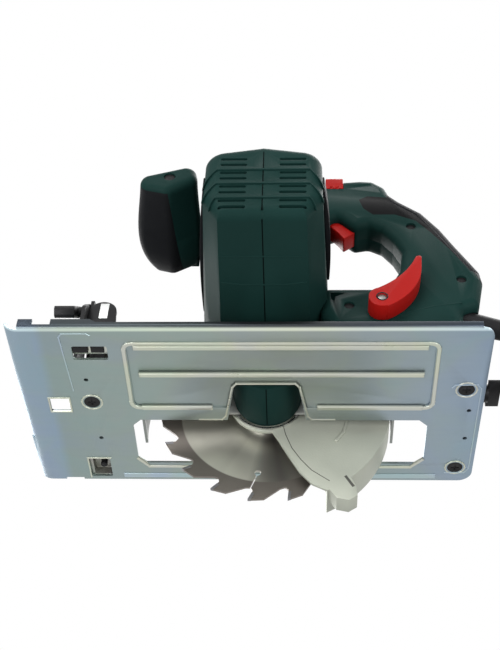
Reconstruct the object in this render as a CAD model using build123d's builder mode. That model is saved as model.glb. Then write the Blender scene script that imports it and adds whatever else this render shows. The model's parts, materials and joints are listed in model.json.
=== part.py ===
"""Hand-held circular saw with a 160 mm blade, a pressed sole plate, bevel and depth settings.

Frame: z = 0 is the underside of the sole, y = 0 its guide edge on the motor side, and x = 0
lies under the spindle. X points to the rear of the saw, Y from the motor to the blade, Z up.
Each piece is built where it stands when the saw is set to full depth and no bevel.
"""
import os
from math import atan2, cos, degrees, hypot, pi, radians, sin, tan

from build123d import *

os.makedirs("parts", exist_ok=True)

# ---------------------------------------------------------------- driving dimensions, mm
# Sole plate: pressed steel sheet with a blade slot
sole_front, sole_rear = -164.0, 151.0
sole_width = 159.6
sole_t = 2.0
guide_land = 0.2
lip_height, lip_radius = 4.6, 2.4
ear_height, ear_x1 = 7.4, -116.0
curl_radius, curl_angle = 12.0, 55.0
near_corner, far_corner = 8.0, 10.0
panel_front, panel_rear = -93.0, 114.0
panel_near, panel_far = 13.0, 78.0
panel_rise = 1.5
slot_front, slot_rear = -96.5, 114.0
slot_near, slot_far = 91.0, 140.0
slot_corner = 6.0
notch_near, notch_half, notch_mouth = 54.0, 21.7, 28.0

# Blade and its drive
blade_y, spindle_z = 112.9, 25.0
blade_r, blade_t = 80.0, 1.8
teeth = 18
tooth_gullet_r = 69.3
rake_offset = 1.7
arbor_r = 10.0
tip_t = 2.4
gear_teeth, pinion_teeth, gear_module = 40, 10, 1.0
gear_y0, gear_y1 = 62.0, 72.0
spindle_r = 6.0
flange_in_r, flange_in_t = 20.0, 6.0
flange_out_r, flange_out_t = 17.0, 4.0
bolt_af, bolt_head_h, bolt_r, bolt_len = 13.0, 6.0, 4.0, 18.0

# Bevel and depth settings
bevel_y, bevel_z, bevel_pin_r, bevel_eye_r = 103.0, 7.5, 2.0, 4.4
bevel_max = 45.0
front_slot_r, front_slot_w, front_rim, front_rim_out = 81.0, 6.6, 9.0, 5.6
clamp_angle = 130.5
quad_x, quad_t = -132.0, 2.5
rear_slot_r, rear_clamp_angle = 27.7, 170.4
depth_x, depth_z = -112.0, 40.0
depth_pin_r = 4.0
depth_max = 25.0
arc_y0, arc_y1 = 84.0, 87.0
lever_x, lever_z = 78.5, 27.4
clamp_bolt_r = 3.0

# Motor housing: two shells that meet at x = 0
house_y0, house_y1 = -80.0, 40.0
house_bottom = 22.0
house_wall = 2.5
rib_rows, rib_h, rib_out = (66.8, 52.2, 37.6), 1.6, 1.0
rib_half, rib_reach, rib_drop = 30.0, 40.0, 14.6
end_half, end_flat, end_top = 38.0, 28.0, 94.0
root_half, root_flat, root_top = 44.0, 31.0, 112.0
neck_r, neck_y0, neck_y1 = 24.0, 59.0, 97.0
case_r, case_y0 = 33.0, 39.5
root_case_r = 12.5
spigot_r, spigot_len = 21.9, 6.5

# Guards
guard_y0, guard_y1 = 101.0, 127.0
tip_room, guard_wall = 7.5, 2.0
upper_y0, upper_y1 = 97.0, 131.0
guard_room, upper_wall = 1.3, 2.0
upper_rim_z = 12.0

# Rear handle: two shells that meet at handle_y
handle_y, handle_half = 26.0, 16.0
handle_wall = 3.0
handle_round = 7.0

# Front handle
aux_sections = [  # y, then the corners of the section there as x and z
    (-60.0, [(-84, 88.5), (-48, 101), (-44.5, 84), (-64, 71), (-83.5, 77.5)]),
    (-20.0, [(-89.5, 89), (-48, 103), (-45, 84), (-66, 71), (-89, 77)]),
    (4.0, [(-88.5, 90), (-49, 103), (-46, 85), (-66, 72), (-87, 78)]),
    (21.0, [(-81, 94), (-52, 103.5), (-49.5, 88), (-67, 77), (-79, 81)]),
]
aux_round, aux_end_round = 7.4, 5.5
grip_seam = (-64.8, -59.7)
aux_screw_at = (-64.2, 86.2)
handle_front = -50.0

# Supply cord
cord_d = 8.0
floor_z = -62.0
sleeve_len, sleeve_r0, sleeve_r1 = 75.0, 8.2, 6.0
coil_turns_wide, coil_turns_high = 4, 3
coil_mid_r = 50.0

run_gap = 0.05
part_gap = 0.3

# ---------------------------------------------------------------- derived values
gear_r = gear_teeth * gear_module / 2
guard_r = blade_r + tip_room + guard_wall
upper_r = guard_r + guard_room + upper_wall
pinion_r = pinion_teeth * gear_module / 2
motor_z = spindle_z + gear_r + pinion_r
slot_mid = (slot_near + slot_far) / 2
near_y, far_y = handle_y - handle_half, handle_y + handle_half
depth_r = hypot(lever_x - depth_x, lever_z - depth_z)
depth_a = degrees(atan2(lever_z - depth_z, lever_x - depth_x))


def at_y(y):
    """Sketch plane at y whose local axes are X and Z; a positive extrude runs towards -Y."""
    return Plane.XZ.offset(-y)


def polar(cx, cz, r, a):
    """Point at radius r and angle a, in degrees, about (cx, cz)."""
    return (cx + r * cos(radians(a)), cz + r * sin(radians(a)))


def finish(builder, name):
    """Label a finished piece and export it."""
    builder.part.label = name
    export_step(builder.part, f"parts/{name}.step")


# ================================================================ sole and what is fixed to it
window_fence = (-118.0, 22.5, 24.0, 13.0)
window_front = (-146.0, 75.0, 14.0, 14.0)
window_far = (-126.0, 145.5, 16.0, 21.0)
sole_windows = [window_fence, window_front, window_far]
sole_screws = [(-123.0, 72.0), (138.0, 59.0), (138.0, 144.0)]
rivet_holes = [(-124.2, 49.0), (-121.3, 111.0), (141.8, 80.5), (141.9, 110.6)]
screw_head_r, screw_r = 5.8, 2.5

with BuildPart() as base_plate:
    # flat sheet, with its rear corners rounded
    with BuildSketch():
        with Locations(((sole_front + sole_rear) / 2, (sole_width - guide_land) / 2)):
            Rectangle(sole_rear - sole_front, sole_width + guide_land)
        rear = vertices().group_by(Axis.X)[-1].sort_by(Axis.Y)
        fillet(rear[0], near_corner)
        fillet(vertices().group_by(Axis.X)[-1].sort_by(Axis.Y)[-1], far_corner)
    extrude(amount=sole_t)
    # lip bent up along the guide edge
    with BuildSketch(Plane.YZ.offset(sole_front)):
        bend = (-guide_land, lip_radius)
        with BuildLine():
            CenterArc(bend, lip_radius, 180, 90)
            Line((-guide_land - lip_radius, lip_radius), (-guide_land - lip_radius, lip_height))
            Line((-guide_land - lip_radius, lip_height),
                 (-guide_land - lip_radius + sole_t, lip_height))
            Line((-guide_land - lip_radius + sole_t, lip_height),
                 (-guide_land - lip_radius + sole_t, lip_radius))
            CenterArc(bend, lip_radius - sole_t, 180, 90)
            Line((-guide_land, sole_t), (-guide_land, 0))
        make_face()
    extrude(amount=sole_rear - near_corner - sole_front)
    # the lip stands higher towards the front
    with BuildSketch(at_y(-guide_land - lip_radius + sole_t)):
        with BuildLine():
            Polyline((sole_front, lip_height - 1), (ear_x1 + 6, lip_height - 1), (ear_x1, ear_height),
                     (sole_front, ear_height), (sole_front, lip_height - 1))
        make_face()
    extrude(amount=sole_t)
    # front edge curled up
    with BuildSketch(at_y(sole_width)):
        curl = (sole_front, curl_radius)
        with BuildLine():
            CenterArc(curl, curl_radius, 270 - curl_angle, curl_angle)
            Line((sole_front, 0), (sole_front, sole_t))
            CenterArc(curl, curl_radius - sole_t, 270 - curl_angle, curl_angle)
            Line(polar(*curl, curl_radius - sole_t, 270 - curl_angle),
                 polar(*curl, curl_radius, 270 - curl_angle))
        make_face()
    extrude(amount=sole_width + guide_land)
    # raised panel pressed up from below
    panel_c = ((panel_front + panel_rear) / 2, (panel_near + panel_far) / 2)
    panel_size = (panel_rear - panel_front, panel_far - panel_near)
    with BuildSketch(Plane.XY.offset(sole_t)):
        with Locations(panel_c):
            RectangleRounded(panel_size[0] + 2 * sole_t, panel_size[1] + 2 * sole_t, 9)
    extrude(amount=panel_rise)
    with BuildSketch():
        with Locations(panel_c):
            RectangleRounded(*panel_size, 7)
    extrude(amount=panel_rise, mode=Mode.SUBTRACT)
    # blade slot, notch for the gear neck, windows, screw and rivet holes
    with BuildSketch():
        with Locations(((slot_front + slot_rear) / 2, slot_mid)):
            Rectangle(slot_rear - slot_front, slot_far - slot_near)
        chamfer(vertices(), slot_corner)
        with BuildLine():
            Polyline((-notch_half, notch_near), (notch_half, notch_near), (notch_mouth, slot_near),
                     (notch_mouth, slot_near + 1), (-notch_mouth, slot_near + 1),
                     (-notch_mouth, slot_near), (-notch_half, notch_near))
        make_face()
        for x, y, w, h in sole_windows:
            with Locations((x, y)):
                RectangleRounded(w, h, 1.5)
        with Locations(*rivet_holes):
            Circle(1.6)
        with Locations((sole_front + 17, sole_width)):
            Rectangle(13.5, 4)
    extrude(amount=sole_t + panel_rise + 1, mode=Mode.SUBTRACT)
    # notch in the guide lip and sight notch in the front curl
    with Locations((sole_front + 15.8, -guide_land - lip_radius, ear_height)):
        Box(12.4, 2 * lip_radius, 2 * (ear_height - sole_t) - 1, mode=Mode.SUBTRACT)
    with Locations((sole_front - curl_radius * sin(radians(curl_angle)), blade_y, curl_radius / 2)):
        Box(6, 2.5, curl_radius, mode=Mode.SUBTRACT)
    with Locations(*[(x, y, sole_t / 2) for x, y in sole_screws]):
        Cone(screw_head_r + run_gap, screw_r + run_gap, sole_t, mode=Mode.SUBTRACT)
finish(base_plate, "base_plate")

foot_t = 2.5
foot_z = sole_t + foot_t
eye_room = bevel_eye_r + 2 * part_gap

# Three countersunk screws, driven from below into the front and rear brackets
with BuildPart() as plate_screws:
    for x, y in sole_screws:
        with Locations((x, y, sole_t / 2)):
            Cone(screw_head_r, screw_r, sole_t)
        with Locations((x, y, sole_t)):
            Cylinder(screw_r, foot_t + 4, align=(Align.CENTER, Align.CENTER, Align.MIN))
        with Locations((x, y, 0)):
            Box(6, 1.2, 1.6, mode=Mode.SUBTRACT)
            Box(1.2, 6, 1.6, mode=Mode.SUBTRACT)
finish(plate_screws, "plate_screws")

# Front bevel bracket: a foot on the sole and an arched plate with the bevel slot
front_foot_x0, front_foot_x1 = quad_x, -104.0
front_foot_y0, front_foot_y1 = 32.0, 132.0
bevel_c = (bevel_y, bevel_z)
slot_end = clamp_angle - bevel_max
rim_r = front_slot_r + front_rim_out
with BuildPart() as front_bracket:
    with BuildSketch(Plane.XY.offset(sole_t)):
        with Locations(((front_foot_x0 + front_foot_x1) / 2, (front_foot_y0 + front_foot_y1) / 2)):
            RectangleRounded(front_foot_x1 - front_foot_x0, front_foot_y1 - front_foot_y0, 3)
        with Locations(sole_screws[0]):
            Circle(screw_r, mode=Mode.SUBTRACT)
        with Locations((quad_x + quad_t, bevel_y)):
            Rectangle(2 * eye_room, 2 * eye_room, align=(Align.MIN, Align.CENTER), mode=Mode.SUBTRACT)
    extrude(amount=foot_t)
    with BuildSketch(Plane.YZ.offset(quad_x)):
        with BuildLine():
            arch = CenterArc(bevel_c, rim_r, slot_end - 18, clamp_angle - slot_end + 34)
            Polyline(arch @ 1, (front_foot_y0 + 2, foot_z), (front_foot_y1 - 2, foot_z), arch @ 0)
        make_face()
        with BuildLine(mode=Mode.PRIVATE) as window:
            inner = CenterArc(bevel_c, front_slot_r - front_rim, slot_end - 8,
                              clamp_angle - slot_end + 14)
            Polyline(inner @ 1, (front_foot_y0 + 22, 16), (front_foot_y1 - 36, 16), inner @ 0)
        make_face(window.line.edges(), mode=Mode.SUBTRACT)
        with BuildLine(mode=Mode.PRIVATE) as bevel_slot:
            CenterArc(bevel_c, front_slot_r, slot_end - 1, clamp_angle - slot_end + 2)
        SlotArc(bevel_slot.edge(), front_slot_w, mode=Mode.SUBTRACT)
        with Locations(bevel_c):
            Circle(bevel_pin_r + run_gap, mode=Mode.SUBTRACT)
    extrude(amount=quad_t)
finish(front_bracket, "front_bracket")

# Bevel scale: a thin light plate riveted to the rear face of the arch
with BuildPart() as bevel_scale:
    with BuildSketch(Plane.YZ.offset(quad_x - 0.8)):
        with BuildLine(mode=Mode.PRIVATE) as scale_arc:
            CenterArc(bevel_c, front_slot_r - 6.2, slot_end, clamp_angle - slot_end + 4)
        SlotArc(scale_arc.edge(), 4.2)
    extrude(amount=0.8)
finish(bevel_scale, "bevel_scale")

# Rear bevel bracket: an upright plate with a short arc slot, folded onto the sole
rear_plate_x = 147.0
rear_foot_x0 = 130.0
rear_slot_end = rear_clamp_angle - bevel_max
with BuildPart() as rear_bracket:
    with BuildSketch(Plane.XY.offset(sole_t)):
        with Locations(((rear_foot_x0 + rear_plate_x + quad_t) / 2, 103)):
            RectangleRounded(rear_plate_x + quad_t - rear_foot_x0, 98, 2)
        with Locations(*sole_screws[1:]):
            Circle(screw_r, mode=Mode.SUBTRACT)
        with Locations((rear_plate_x, bevel_y)):
            Rectangle(2 * eye_room, 2 * eye_room, align=(Align.MAX, Align.CENTER), mode=Mode.SUBTRACT)
    extrude(amount=foot_t)
    with BuildSketch(Plane.YZ.offset(rear_plate_x)):
        with BuildLine():
            arch = CenterArc(bevel_c, rear_slot_r + 8, rear_slot_end - 16, bevel_max + 22)
            Polyline(arch @ 1, (bevel_y - rear_slot_r - 12, foot_z - 1),
                     (bevel_y + 14, foot_z - 1), (bevel_y + 14, bevel_z + 8), arch @ 0)
        make_face()
        with BuildLine(mode=Mode.PRIVATE) as rear_slot:
            CenterArc(bevel_c, rear_slot_r, rear_slot_end - 2, bevel_max + 4)
        SlotArc(rear_slot.edge(), front_slot_w, mode=Mode.SUBTRACT)
        with Locations(bevel_c):
            Circle(bevel_pin_r + run_gap, mode=Mode.SUBTRACT)
    extrude(amount=quad_t)
finish(rear_bracket, "rear_bracket")

# Rip-fence guide over the fence window: a low bridge that the fence bar slides through
fence_x, fence_y, fence_w = window_fence[0], window_fence[1] - 2.0, window_fence[2]
with BuildPart() as fence_guide:
    with Locations((fence_x, fence_y, sole_t + 5)):
        Box(fence_w + 8, 9, 10)
        Box(fence_w - 6, 12, 5, mode=Mode.SUBTRACT)
    with Locations(*[(fence_x + dx, window_fence[1] - 3, sole_t) for dx in (-8, 4)]):
        Box(6.5, 3.5, 2.4)
finish(fence_guide, "fence_guide")

# Fence clamp screw with a ribbed knob, standing over the far window
fence_screw_x, fence_screw_y = window_far[0] + 2, window_far[1]
with BuildPart() as fence_block:
    with Locations((fence_screw_x, fence_screw_y, sole_t + 4)):
        Box(window_far[2] + 8, window_far[3] + 4, 8)
        Box(window_far[2] - 1, window_far[3] - 1, 5, mode=Mode.SUBTRACT)
        Cylinder(2.5 + run_gap, 12, mode=Mode.SUBTRACT)
        with Locations((0, 0, -2.5)):
            Box(window_far[2] - 1, window_far[3] - 1, 5, mode=Mode.SUBTRACT)
finish(fence_block, "fence_block")

with BuildPart() as fence_knob:
    with Locations((fence_screw_x, fence_screw_y, sole_t + 0.5)):
        Cylinder(2.5, 12, align=(Align.CENTER, Align.CENTER, Align.MIN))
    with Locations((fence_screw_x, fence_screw_y, sole_t + 8 + part_gap)):
        Cylinder(6, 8, align=(Align.CENTER, Align.CENTER, Align.MIN))
    with Locations((fence_screw_x, fence_screw_y, sole_t + 12 + part_gap)):
        with PolarLocations(6, 8):
            Cylinder(0.9, 10, mode=Mode.SUBTRACT)
finish(fence_knob, "fence_knob")

# ================================================================ tilting frame
front_plate_x = quad_x + quad_t + part_gap
ear_gap = (70.0, 92.0)
ear_t, flange_w = 2.5, 20.0
with BuildPart() as front_trunnion:
    # upright plate against the bracket, from the bevel pin to the clamp screw
    with BuildSketch(Plane.YZ.offset(front_plate_x)):
        clamp_at = polar(*bevel_c, front_slot_r, clamp_angle)
        with BuildLine():
            FilletPolyline((clamp_at[0] - 8, clamp_at[1] + 4), (clamp_at[0] + 6, clamp_at[1] + 9),
                           (ear_gap[1] + 6, 48), (bevel_y + bevel_eye_r, bevel_z + 2),
                           (bevel_y - bevel_eye_r, bevel_z), (ear_gap[0] - 8, 18),
                           (clamp_at[0] - 8, clamp_at[1] - 8), radius=1.0, close=True)
        make_face()
        with Locations(bevel_c):
            Circle(bevel_eye_r)
            Circle(bevel_pin_r + run_gap, mode=Mode.SUBTRACT)
        with Locations(clamp_at):
            Circle(clamp_bolt_r + run_gap, mode=Mode.SUBTRACT)
    extrude(amount=quad_t)
    # stiffening flange along its near edge, rounded at the top
    with BuildSketch(at_y(clamp_at[0] - 7)):
        with BuildLine():
            Polyline((front_plate_x + flange_w, 58), (front_plate_x + flange_w + 3, 26),
                     (front_plate_x, 26), (front_plate_x, 61))
            ThreePointArc((front_plate_x, 61), (front_plate_x + 10, 70), (front_plate_x + flange_w, 58))
        make_face()
    extrude(amount=quad_t)
    # two ears that carry the depth pivot
    for y1 in (ear_gap[0], ear_gap[1] + ear_t):
        with BuildSketch(at_y(y1)):
            with BuildLine():
                Line((front_plate_x + quad_t, 22), (front_plate_x + quad_t, depth_z + 9))
                Line((front_plate_x + quad_t, depth_z + 9), (depth_x, depth_z + 9))
                CenterArc((depth_x, depth_z), 9, 90, -120)
                Line(polar(depth_x, depth_z, 9, -30), (front_plate_x + quad_t, 22))
            make_face()
            with Locations((depth_x, depth_z)):
                Circle(depth_pin_r + run_gap, mode=Mode.SUBTRACT)
        extrude(amount=ear_t)
finish(front_trunnion, "front_trunnion")

rear_tilt_x = rear_plate_x - part_gap - quad_t
with BuildPart() as depth_arc:
    # upright plate against the rear bracket
    with BuildSketch(Plane.YZ.offset(rear_tilt_x)):
        rear_clamp = polar(*bevel_c, rear_slot_r, rear_clamp_angle)
        with BuildLine():
            FilletPolyline((rear_clamp[0] - 7, rear_clamp[1] + 8), (arc_y1, 30),
                           (bevel_y + bevel_eye_r, bevel_z + 2), (bevel_y - bevel_eye_r, bevel_z),
                           (rear_clamp[0] - 7, foot_z + part_gap), radius=1.0, close=True)
        make_face()
        with Locations(bevel_c):
            Circle(bevel_eye_r)
            Circle(bevel_pin_r + run_gap, mode=Mode.SUBTRACT)
        with Locations(rear_clamp):
            Circle(clamp_bolt_r + run_gap, mode=Mode.SUBTRACT)
    extrude(amount=quad_t)
    # arm and arc beside the guard, with the depth slot
    with BuildSketch(at_y(arc_y1)):
        with BuildLine():
            Polyline((rear_tilt_x + quad_t, foot_z + part_gap), (rear_tilt_x + quad_t, 24),
                     (depth_x + depth_r - 2, 36), (depth_x + depth_r - 12, foot_z + part_gap),
                     (rear_tilt_x + quad_t, foot_z + part_gap))
        make_face()
        with BuildLine(mode=Mode.PRIVATE) as arc_line:
            CenterArc((depth_x, depth_z), depth_r, depth_a - 1, depth_max + 3)
        SlotArc(arc_line.edge(), 19)
        SlotArc(arc_line.edge(), 2 * clamp_bolt_r + 0.6, mode=Mode.SUBTRACT)
    extrude(amount=arc_y1 - arc_y0)
finish(depth_arc, "depth_arc")

# Two bevel pins on one axis, each through a bracket and the plate that tilts on it
with BuildPart() as bevel_pins:
    for x0, x1 in ((quad_x - 1.5, front_plate_x + quad_t + 1.5),
                   (rear_tilt_x - 1.5, rear_plate_x + quad_t + 1)):
        with BuildSketch(Plane.YZ.offset(x0)):
            with Locations(bevel_c):
                Circle(bevel_pin_r)
        extrude(amount=x1 - x0)
finish(bevel_pins, "bevel_pins")

# Front bevel clamp: a screw with a flat lever head
lever_size, lever_angle = (34.0, 9.0), 45.0
with BuildPart() as bevel_lever:
    lever_neck = quad_x - 7.0
    with BuildSketch(Plane.YZ.offset(lever_neck)):
        with Locations(clamp_at):
            Circle(clamp_bolt_r + 1.2)
    extrude(amount=quad_x - 0.9 - lever_neck)
    with BuildSketch(Plane.YZ.offset(quad_x - 1)):
        with Locations(clamp_at):
            Circle(clamp_bolt_r)
    extrude(amount=front_plate_x + quad_t + 5 - quad_x + 1)
    with BuildSketch(Plane.YZ.offset(lever_neck - 15)):
        with Locations(Location((*clamp_at, 0), lever_angle)):
            RectangleRounded(*lever_size, 3)
    extrude(amount=15)
finish(bevel_lever, "bevel_lever")

with BuildPart() as bevel_nut:
    with BuildSketch(Plane.YZ.offset(front_plate_x + quad_t)):
        with Locations(clamp_at):
            RegularPolygon(6, 6)
            Circle(clamp_bolt_r + run_gap, mode=Mode.SUBTRACT)
    extrude(amount=4.5)
finish(bevel_nut, "bevel_nut")

# Rear bevel clamp: a screw with a small wing knob behind the bracket
with BuildPart() as rear_wing_knob:
    with BuildSketch(Plane.YZ.offset(rear_tilt_x - 0.5)):
        with Locations(rear_clamp):
            Circle(clamp_bolt_r)
    extrude(amount=rear_plate_x + quad_t + 2 - rear_tilt_x)
    with BuildSketch(Plane.YZ.offset(rear_plate_x + quad_t + part_gap)):
        with Locations(rear_clamp):
            Circle(6.5)
    extrude(amount=5.5)
    with Locations((rear_plate_x + quad_t + 5.5, *rear_clamp)):
        Box(9, 24, 3.4, align=(Align.MIN, Align.CENTER, Align.CENTER), rotation=(0, 0, 0))
finish(rear_wing_knob, "rear_wing_knob")

with BuildPart() as depth_pin:
    with BuildSketch(at_y(ear_gap[1] + ear_t + 2)):
        with Locations((depth_x, depth_z)):
            Circle(depth_pin_r)
    extrude(amount=ear_gap[1] - ear_gap[0] + 2 * ear_t + 4)
    with BuildSketch(at_y(ear_gap[0] - ear_t)):
        with Locations((depth_x, depth_z)):
            Circle(depth_pin_r + 2.5)
    extrude(amount=2)
finish(depth_pin, "depth_pin")

# ================================================================ motor and gear housing


def house_profile(inset, half, flat, top):
    """Closed outline of the housing's section, drawn inside the wall by inset."""
    low = house_bottom + inset
    side = half - inset
    crown = top - inset
    with BuildLine() as outline:
        Polyline((-side, crown - 18), (-side, low + 18), (-flat + inset / 2, low),
                 (flat - inset / 2, low), (side, low + 18), (side, crown - 18))
        ThreePointArc((side, crown - 18), (side * 0.88, crown - 8.75), (side * 0.7, crown - 5.2))
        Polyline((side * 0.7, crown - 5.2), (0, crown), (-side * 0.7, crown - 5.2))
        ThreePointArc((-side * 0.7, crown - 5.2), (-side * 0.88, crown - 8.75), (-side, crown - 18))
    return outline.edges()


def case_profile(low_r, inset):
    """Egg-shaped section of the gear case: a circle about the motor, one about the spindle."""
    with BuildSketch(mode=Mode.PRIVATE) as egg:
        with Locations((0, motor_z + 6)):
            Circle(case_r - inset)
        with Locations((0, spindle_z)):
            Circle(low_r - inset)
        make_hull()
    return egg.sketch


def motor_shell(inset):
    """The housing round the motor as one solid, drawn inside the wall by inset."""
    with BuildPart(mode=Mode.PRIVATE) as body:
        with BuildSketch(at_y(house_y0 + inset)):
            make_face(house_profile(inset, end_half, end_flat, end_top))
        with BuildSketch(at_y(house_y1 - inset)):
            make_face(house_profile(inset, root_half, root_flat, root_top))
        loft()
        if inset <= 0:
            fillet(faces().sort_by(Axis.Y)[0].edges(), 8)
    return body.part


# Ribs across the housing's end, which run down and round its corners
with BuildPart() as ribs:
    with BuildSketch(at_y(house_y0 - rib_out)):
        for z in rib_rows:
            ends = [(-rib_reach, z - rib_drop), (-rib_half, z), (rib_half, z), (rib_reach, z - rib_drop)]
            with BuildLine():
                Polyline(*ends, *[(x, z1 - rib_h) for x, z1 in reversed(ends)], close=True)
            make_face()
    extrude(amount=-rib_out - 6)
    add(motor_shell(-rib_out), mode=Mode.INTERSECT)


def housing_body(inset):
    """The whole housing as one solid, without its cavities, drawn inside the wall by inset."""
    with BuildPart(mode=Mode.PRIVATE) as body:
        add(motor_shell(inset))
        if inset == 0:
            add(ribs.part)
        with BuildSketch(at_y(neck_y1 - inset)):
            add(case_profile(neck_r, inset))
        extrude(amount=neck_y1 - neck_y0 - 2 * inset)
        with BuildSketch(at_y(neck_y0 + inset)):
            add(case_profile(root_case_r, inset))
        extrude(amount=neck_y0 + inset - case_y0)
    return body.part


screw_hole_r = 2.0
bearing_seats = [  # y0, y1, z, outer radius, bore radius
    (-72.0, -65.0, motor_z, 11.0, 4.0),
    (38.0, 46.0, motor_z, 13.0, 5.0),
    (48.0, 57.0, spindle_z, 9.5, 5.0),
    (84.0, 92.0, spindle_z, 14.0, spindle_r),
]
guard_screw_at = [polar(0, motor_z + 6, case_r - 6.5, a) for a in (20, 90, 160)]
lock_y, lock_pin_r, lock_travel, lock_head_x = 79.0, 3.0, 4.0, -31.5
vent_rows, vent_pitch, vent_z0, vent_step = 4, 14.5, 28.2, 6.0
vent_half, vent_gap, vent_h = 28.0, 10.5, 2.4

housing_outer = housing_body(0)
housing_inner = housing_body(house_wall)

# webs across the housing that hold the bearings
with BuildPart() as webs:
    with BuildSketch():
        for y0, y1, z, ro, ri in bearing_seats:
            with Locations((0, (y0 + y1) / 2)):
                Rectangle(2 * root_half, y1 - y0)
    extrude(amount=root_top)
    add(housing_inner, mode=Mode.INTERSECT)

with BuildPart() as housing_whole:
    add(housing_outer)
    add(housing_inner, mode=Mode.SUBTRACT)
    add(webs.part)
    for y0, y1, z, ro, ri in bearing_seats:
        with BuildSketch(at_y(y1)):
            with Locations((0, z)):
                Circle(ro)
        extrude(amount=y1 - y0, mode=Mode.SUBTRACT)
    with BuildSketch(at_y(gear_y1 + 4)):
        with Locations((0, motor_z)):
            Circle(pinion_r + 2)
    extrude(amount=gear_y1 - house_y0 - 8, mode=Mode.SUBTRACT)
    # spigot that the lower guard swings on
    with BuildSketch(at_y(neck_y1 + spigot_len)):
        with Locations((0, spindle_z)):
            Circle(spigot_r)
    extrude(amount=spigot_len)
    with BuildSketch(at_y(neck_y1 + spigot_len)):
        with Locations((0, spindle_z)):
            Circle(spindle_r + 2)
    extrude(amount=neck_y1 + spigot_len - gear_y1, mode=Mode.SUBTRACT)
    # bosses for the guard screws
    with BuildSketch(at_y(neck_y1 - house_wall / 2)):
        with Locations(*guard_screw_at):
            Circle(4.5)
    extrude(amount=16)
    with BuildSketch(at_y(neck_y1)):
        with Locations(*guard_screw_at):
            Circle(screw_hole_r)
    extrude(amount=16, mode=Mode.SUBTRACT)
    # cooling slots in the end, in rows each side of a plain band
    with BuildSketch(at_y(house_y0 + 9)):
        for row in range(vent_rows):
            for side in (-1, 1):
                for step in (0, vent_step):
                    z = vent_z0 + row * vent_pitch + step
                    with Locations((side * (vent_half + vent_gap) / 2, z)):
                        SlotOverall(vent_half - vent_gap, vent_h)
    extrude(amount=12, mode=Mode.SUBTRACT)
    # pocket for the spindle lock
    with BuildSketch(Plane.YZ.offset(-neck_r - 4)):
        with Locations((lock_y, spindle_z)):
            Circle(lock_pin_r + run_gap)
    extrude(amount=neck_r - 5, mode=Mode.SUBTRACT)

with BuildPart() as housing_front:
    add(housing_whole.part)
    split(bisect_by=Plane.YZ, keep=Keep.BOTTOM)
finish(housing_front, "housing_front")

with BuildPart() as housing_rear:
    add(housing_whole.part)
    split(bisect_by=Plane.YZ, keep=Keep.TOP)
finish(housing_rear, "housing_rear")

# Rubber side trims, one along each side of the housing
trim_z, trim_h, trim_out = 64.0, 15.0, 3.6
trim_y0, trim_front_y1, trim_rear_y1 = -70.0, 38.0, 8.0


def side_trim(side, y1):
    """A bowed strip that follows the housing's drafted side and stands proud of it."""
    with BuildPart(mode=Mode.PRIVATE) as strip:
        with BuildSketch(Plane.XY.offset(trim_z - trim_h / 2)):
            slope = (root_half - end_half) / (house_y1 - house_y0)
            x0 = end_half + slope * (trim_y0 - house_y0)
            x1 = end_half + slope * (y1 - house_y0)
            with BuildLine():
                Line((side * (x0 - 3), trim_y0), (side * (x0 + 1.2), trim_y0))
                ThreePointArc((side * (x0 + 1.2), trim_y0),
                              (side * ((x0 + x1) / 2 + trim_out), (trim_y0 + y1) / 2),
                              (side * (x1 + 1.6), y1))
                Polyline((side * (x1 + 1.6), y1), (side * (x1 - 3), y1), (side * (x0 - 3), trim_y0))
            make_face()
        extrude(amount=trim_h)
        add(housing_outer, mode=Mode.SUBTRACT)
    return strip.part


with BuildPart() as side_trim_front:
    add(side_trim(-1, trim_front_y1))
finish(side_trim_front, "side_trim_front")

with BuildPart() as side_trim_rear:
    add(side_trim(1, trim_rear_y1))
finish(side_trim_rear, "side_trim_rear")

# ================================================================ motor
shaft_r, pinion_shaft_r = 4.0, 3.6
stator_y0, stator_y1, stator_w = -40.0, 4.0, 64.0
stator_half_h = motor_z - house_bottom - house_wall
armature_r, stator_bore = 13.0, 13.6
fan_y0, fan_y1, fan_r = 16.0, 26.0, 18.5
comm_y0, comm_y1, comm_r = -60.0, -46.0, 10.0

with BuildPart() as bearings:
    for y0, y1, z, ro, ri in bearing_seats:
        with BuildSketch(at_y(y1)):
            with Locations((0, z)):
                Circle(ro)
                Circle(ri + run_gap, mode=Mode.SUBTRACT)
        extrude(amount=y1 - y0)
        # grooves between the rings and the shields
        with BuildSketch(at_y(y1)):
            with Locations((0, z)):
                Circle((ro + ri) / 2 + 1)
                Circle((ro + ri) / 2 - 1, mode=Mode.SUBTRACT)
        extrude(amount=0.6, mode=Mode.SUBTRACT)
finish(bearings, "bearings")

with BuildPart() as stator:
    with BuildSketch(at_y(stator_y1)):
        with Locations((0, motor_z)):
            RectangleRounded(stator_w, 2 * stator_half_h, 12)
            Circle(stator_bore, mode=Mode.SUBTRACT)
            with Locations((-stator_bore - 3.5, 0), (stator_bore + 3.5, 0)):
                Rectangle(11, 16, mode=Mode.SUBTRACT)
    extrude(amount=stator_y1 - stator_y0)
finish(stator, "stator")

with BuildPart() as field_coils:
    for y1 in (stator_y0, stator_y1 + 6):
        with BuildSketch(at_y(y1)):
            with Locations((0, motor_z)):
                RectangleRounded(46, 34, 9)
                Circle(stator_bore + 1, mode=Mode.SUBTRACT)
        extrude(amount=6)
finish(field_coils, "field_coils")

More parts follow.
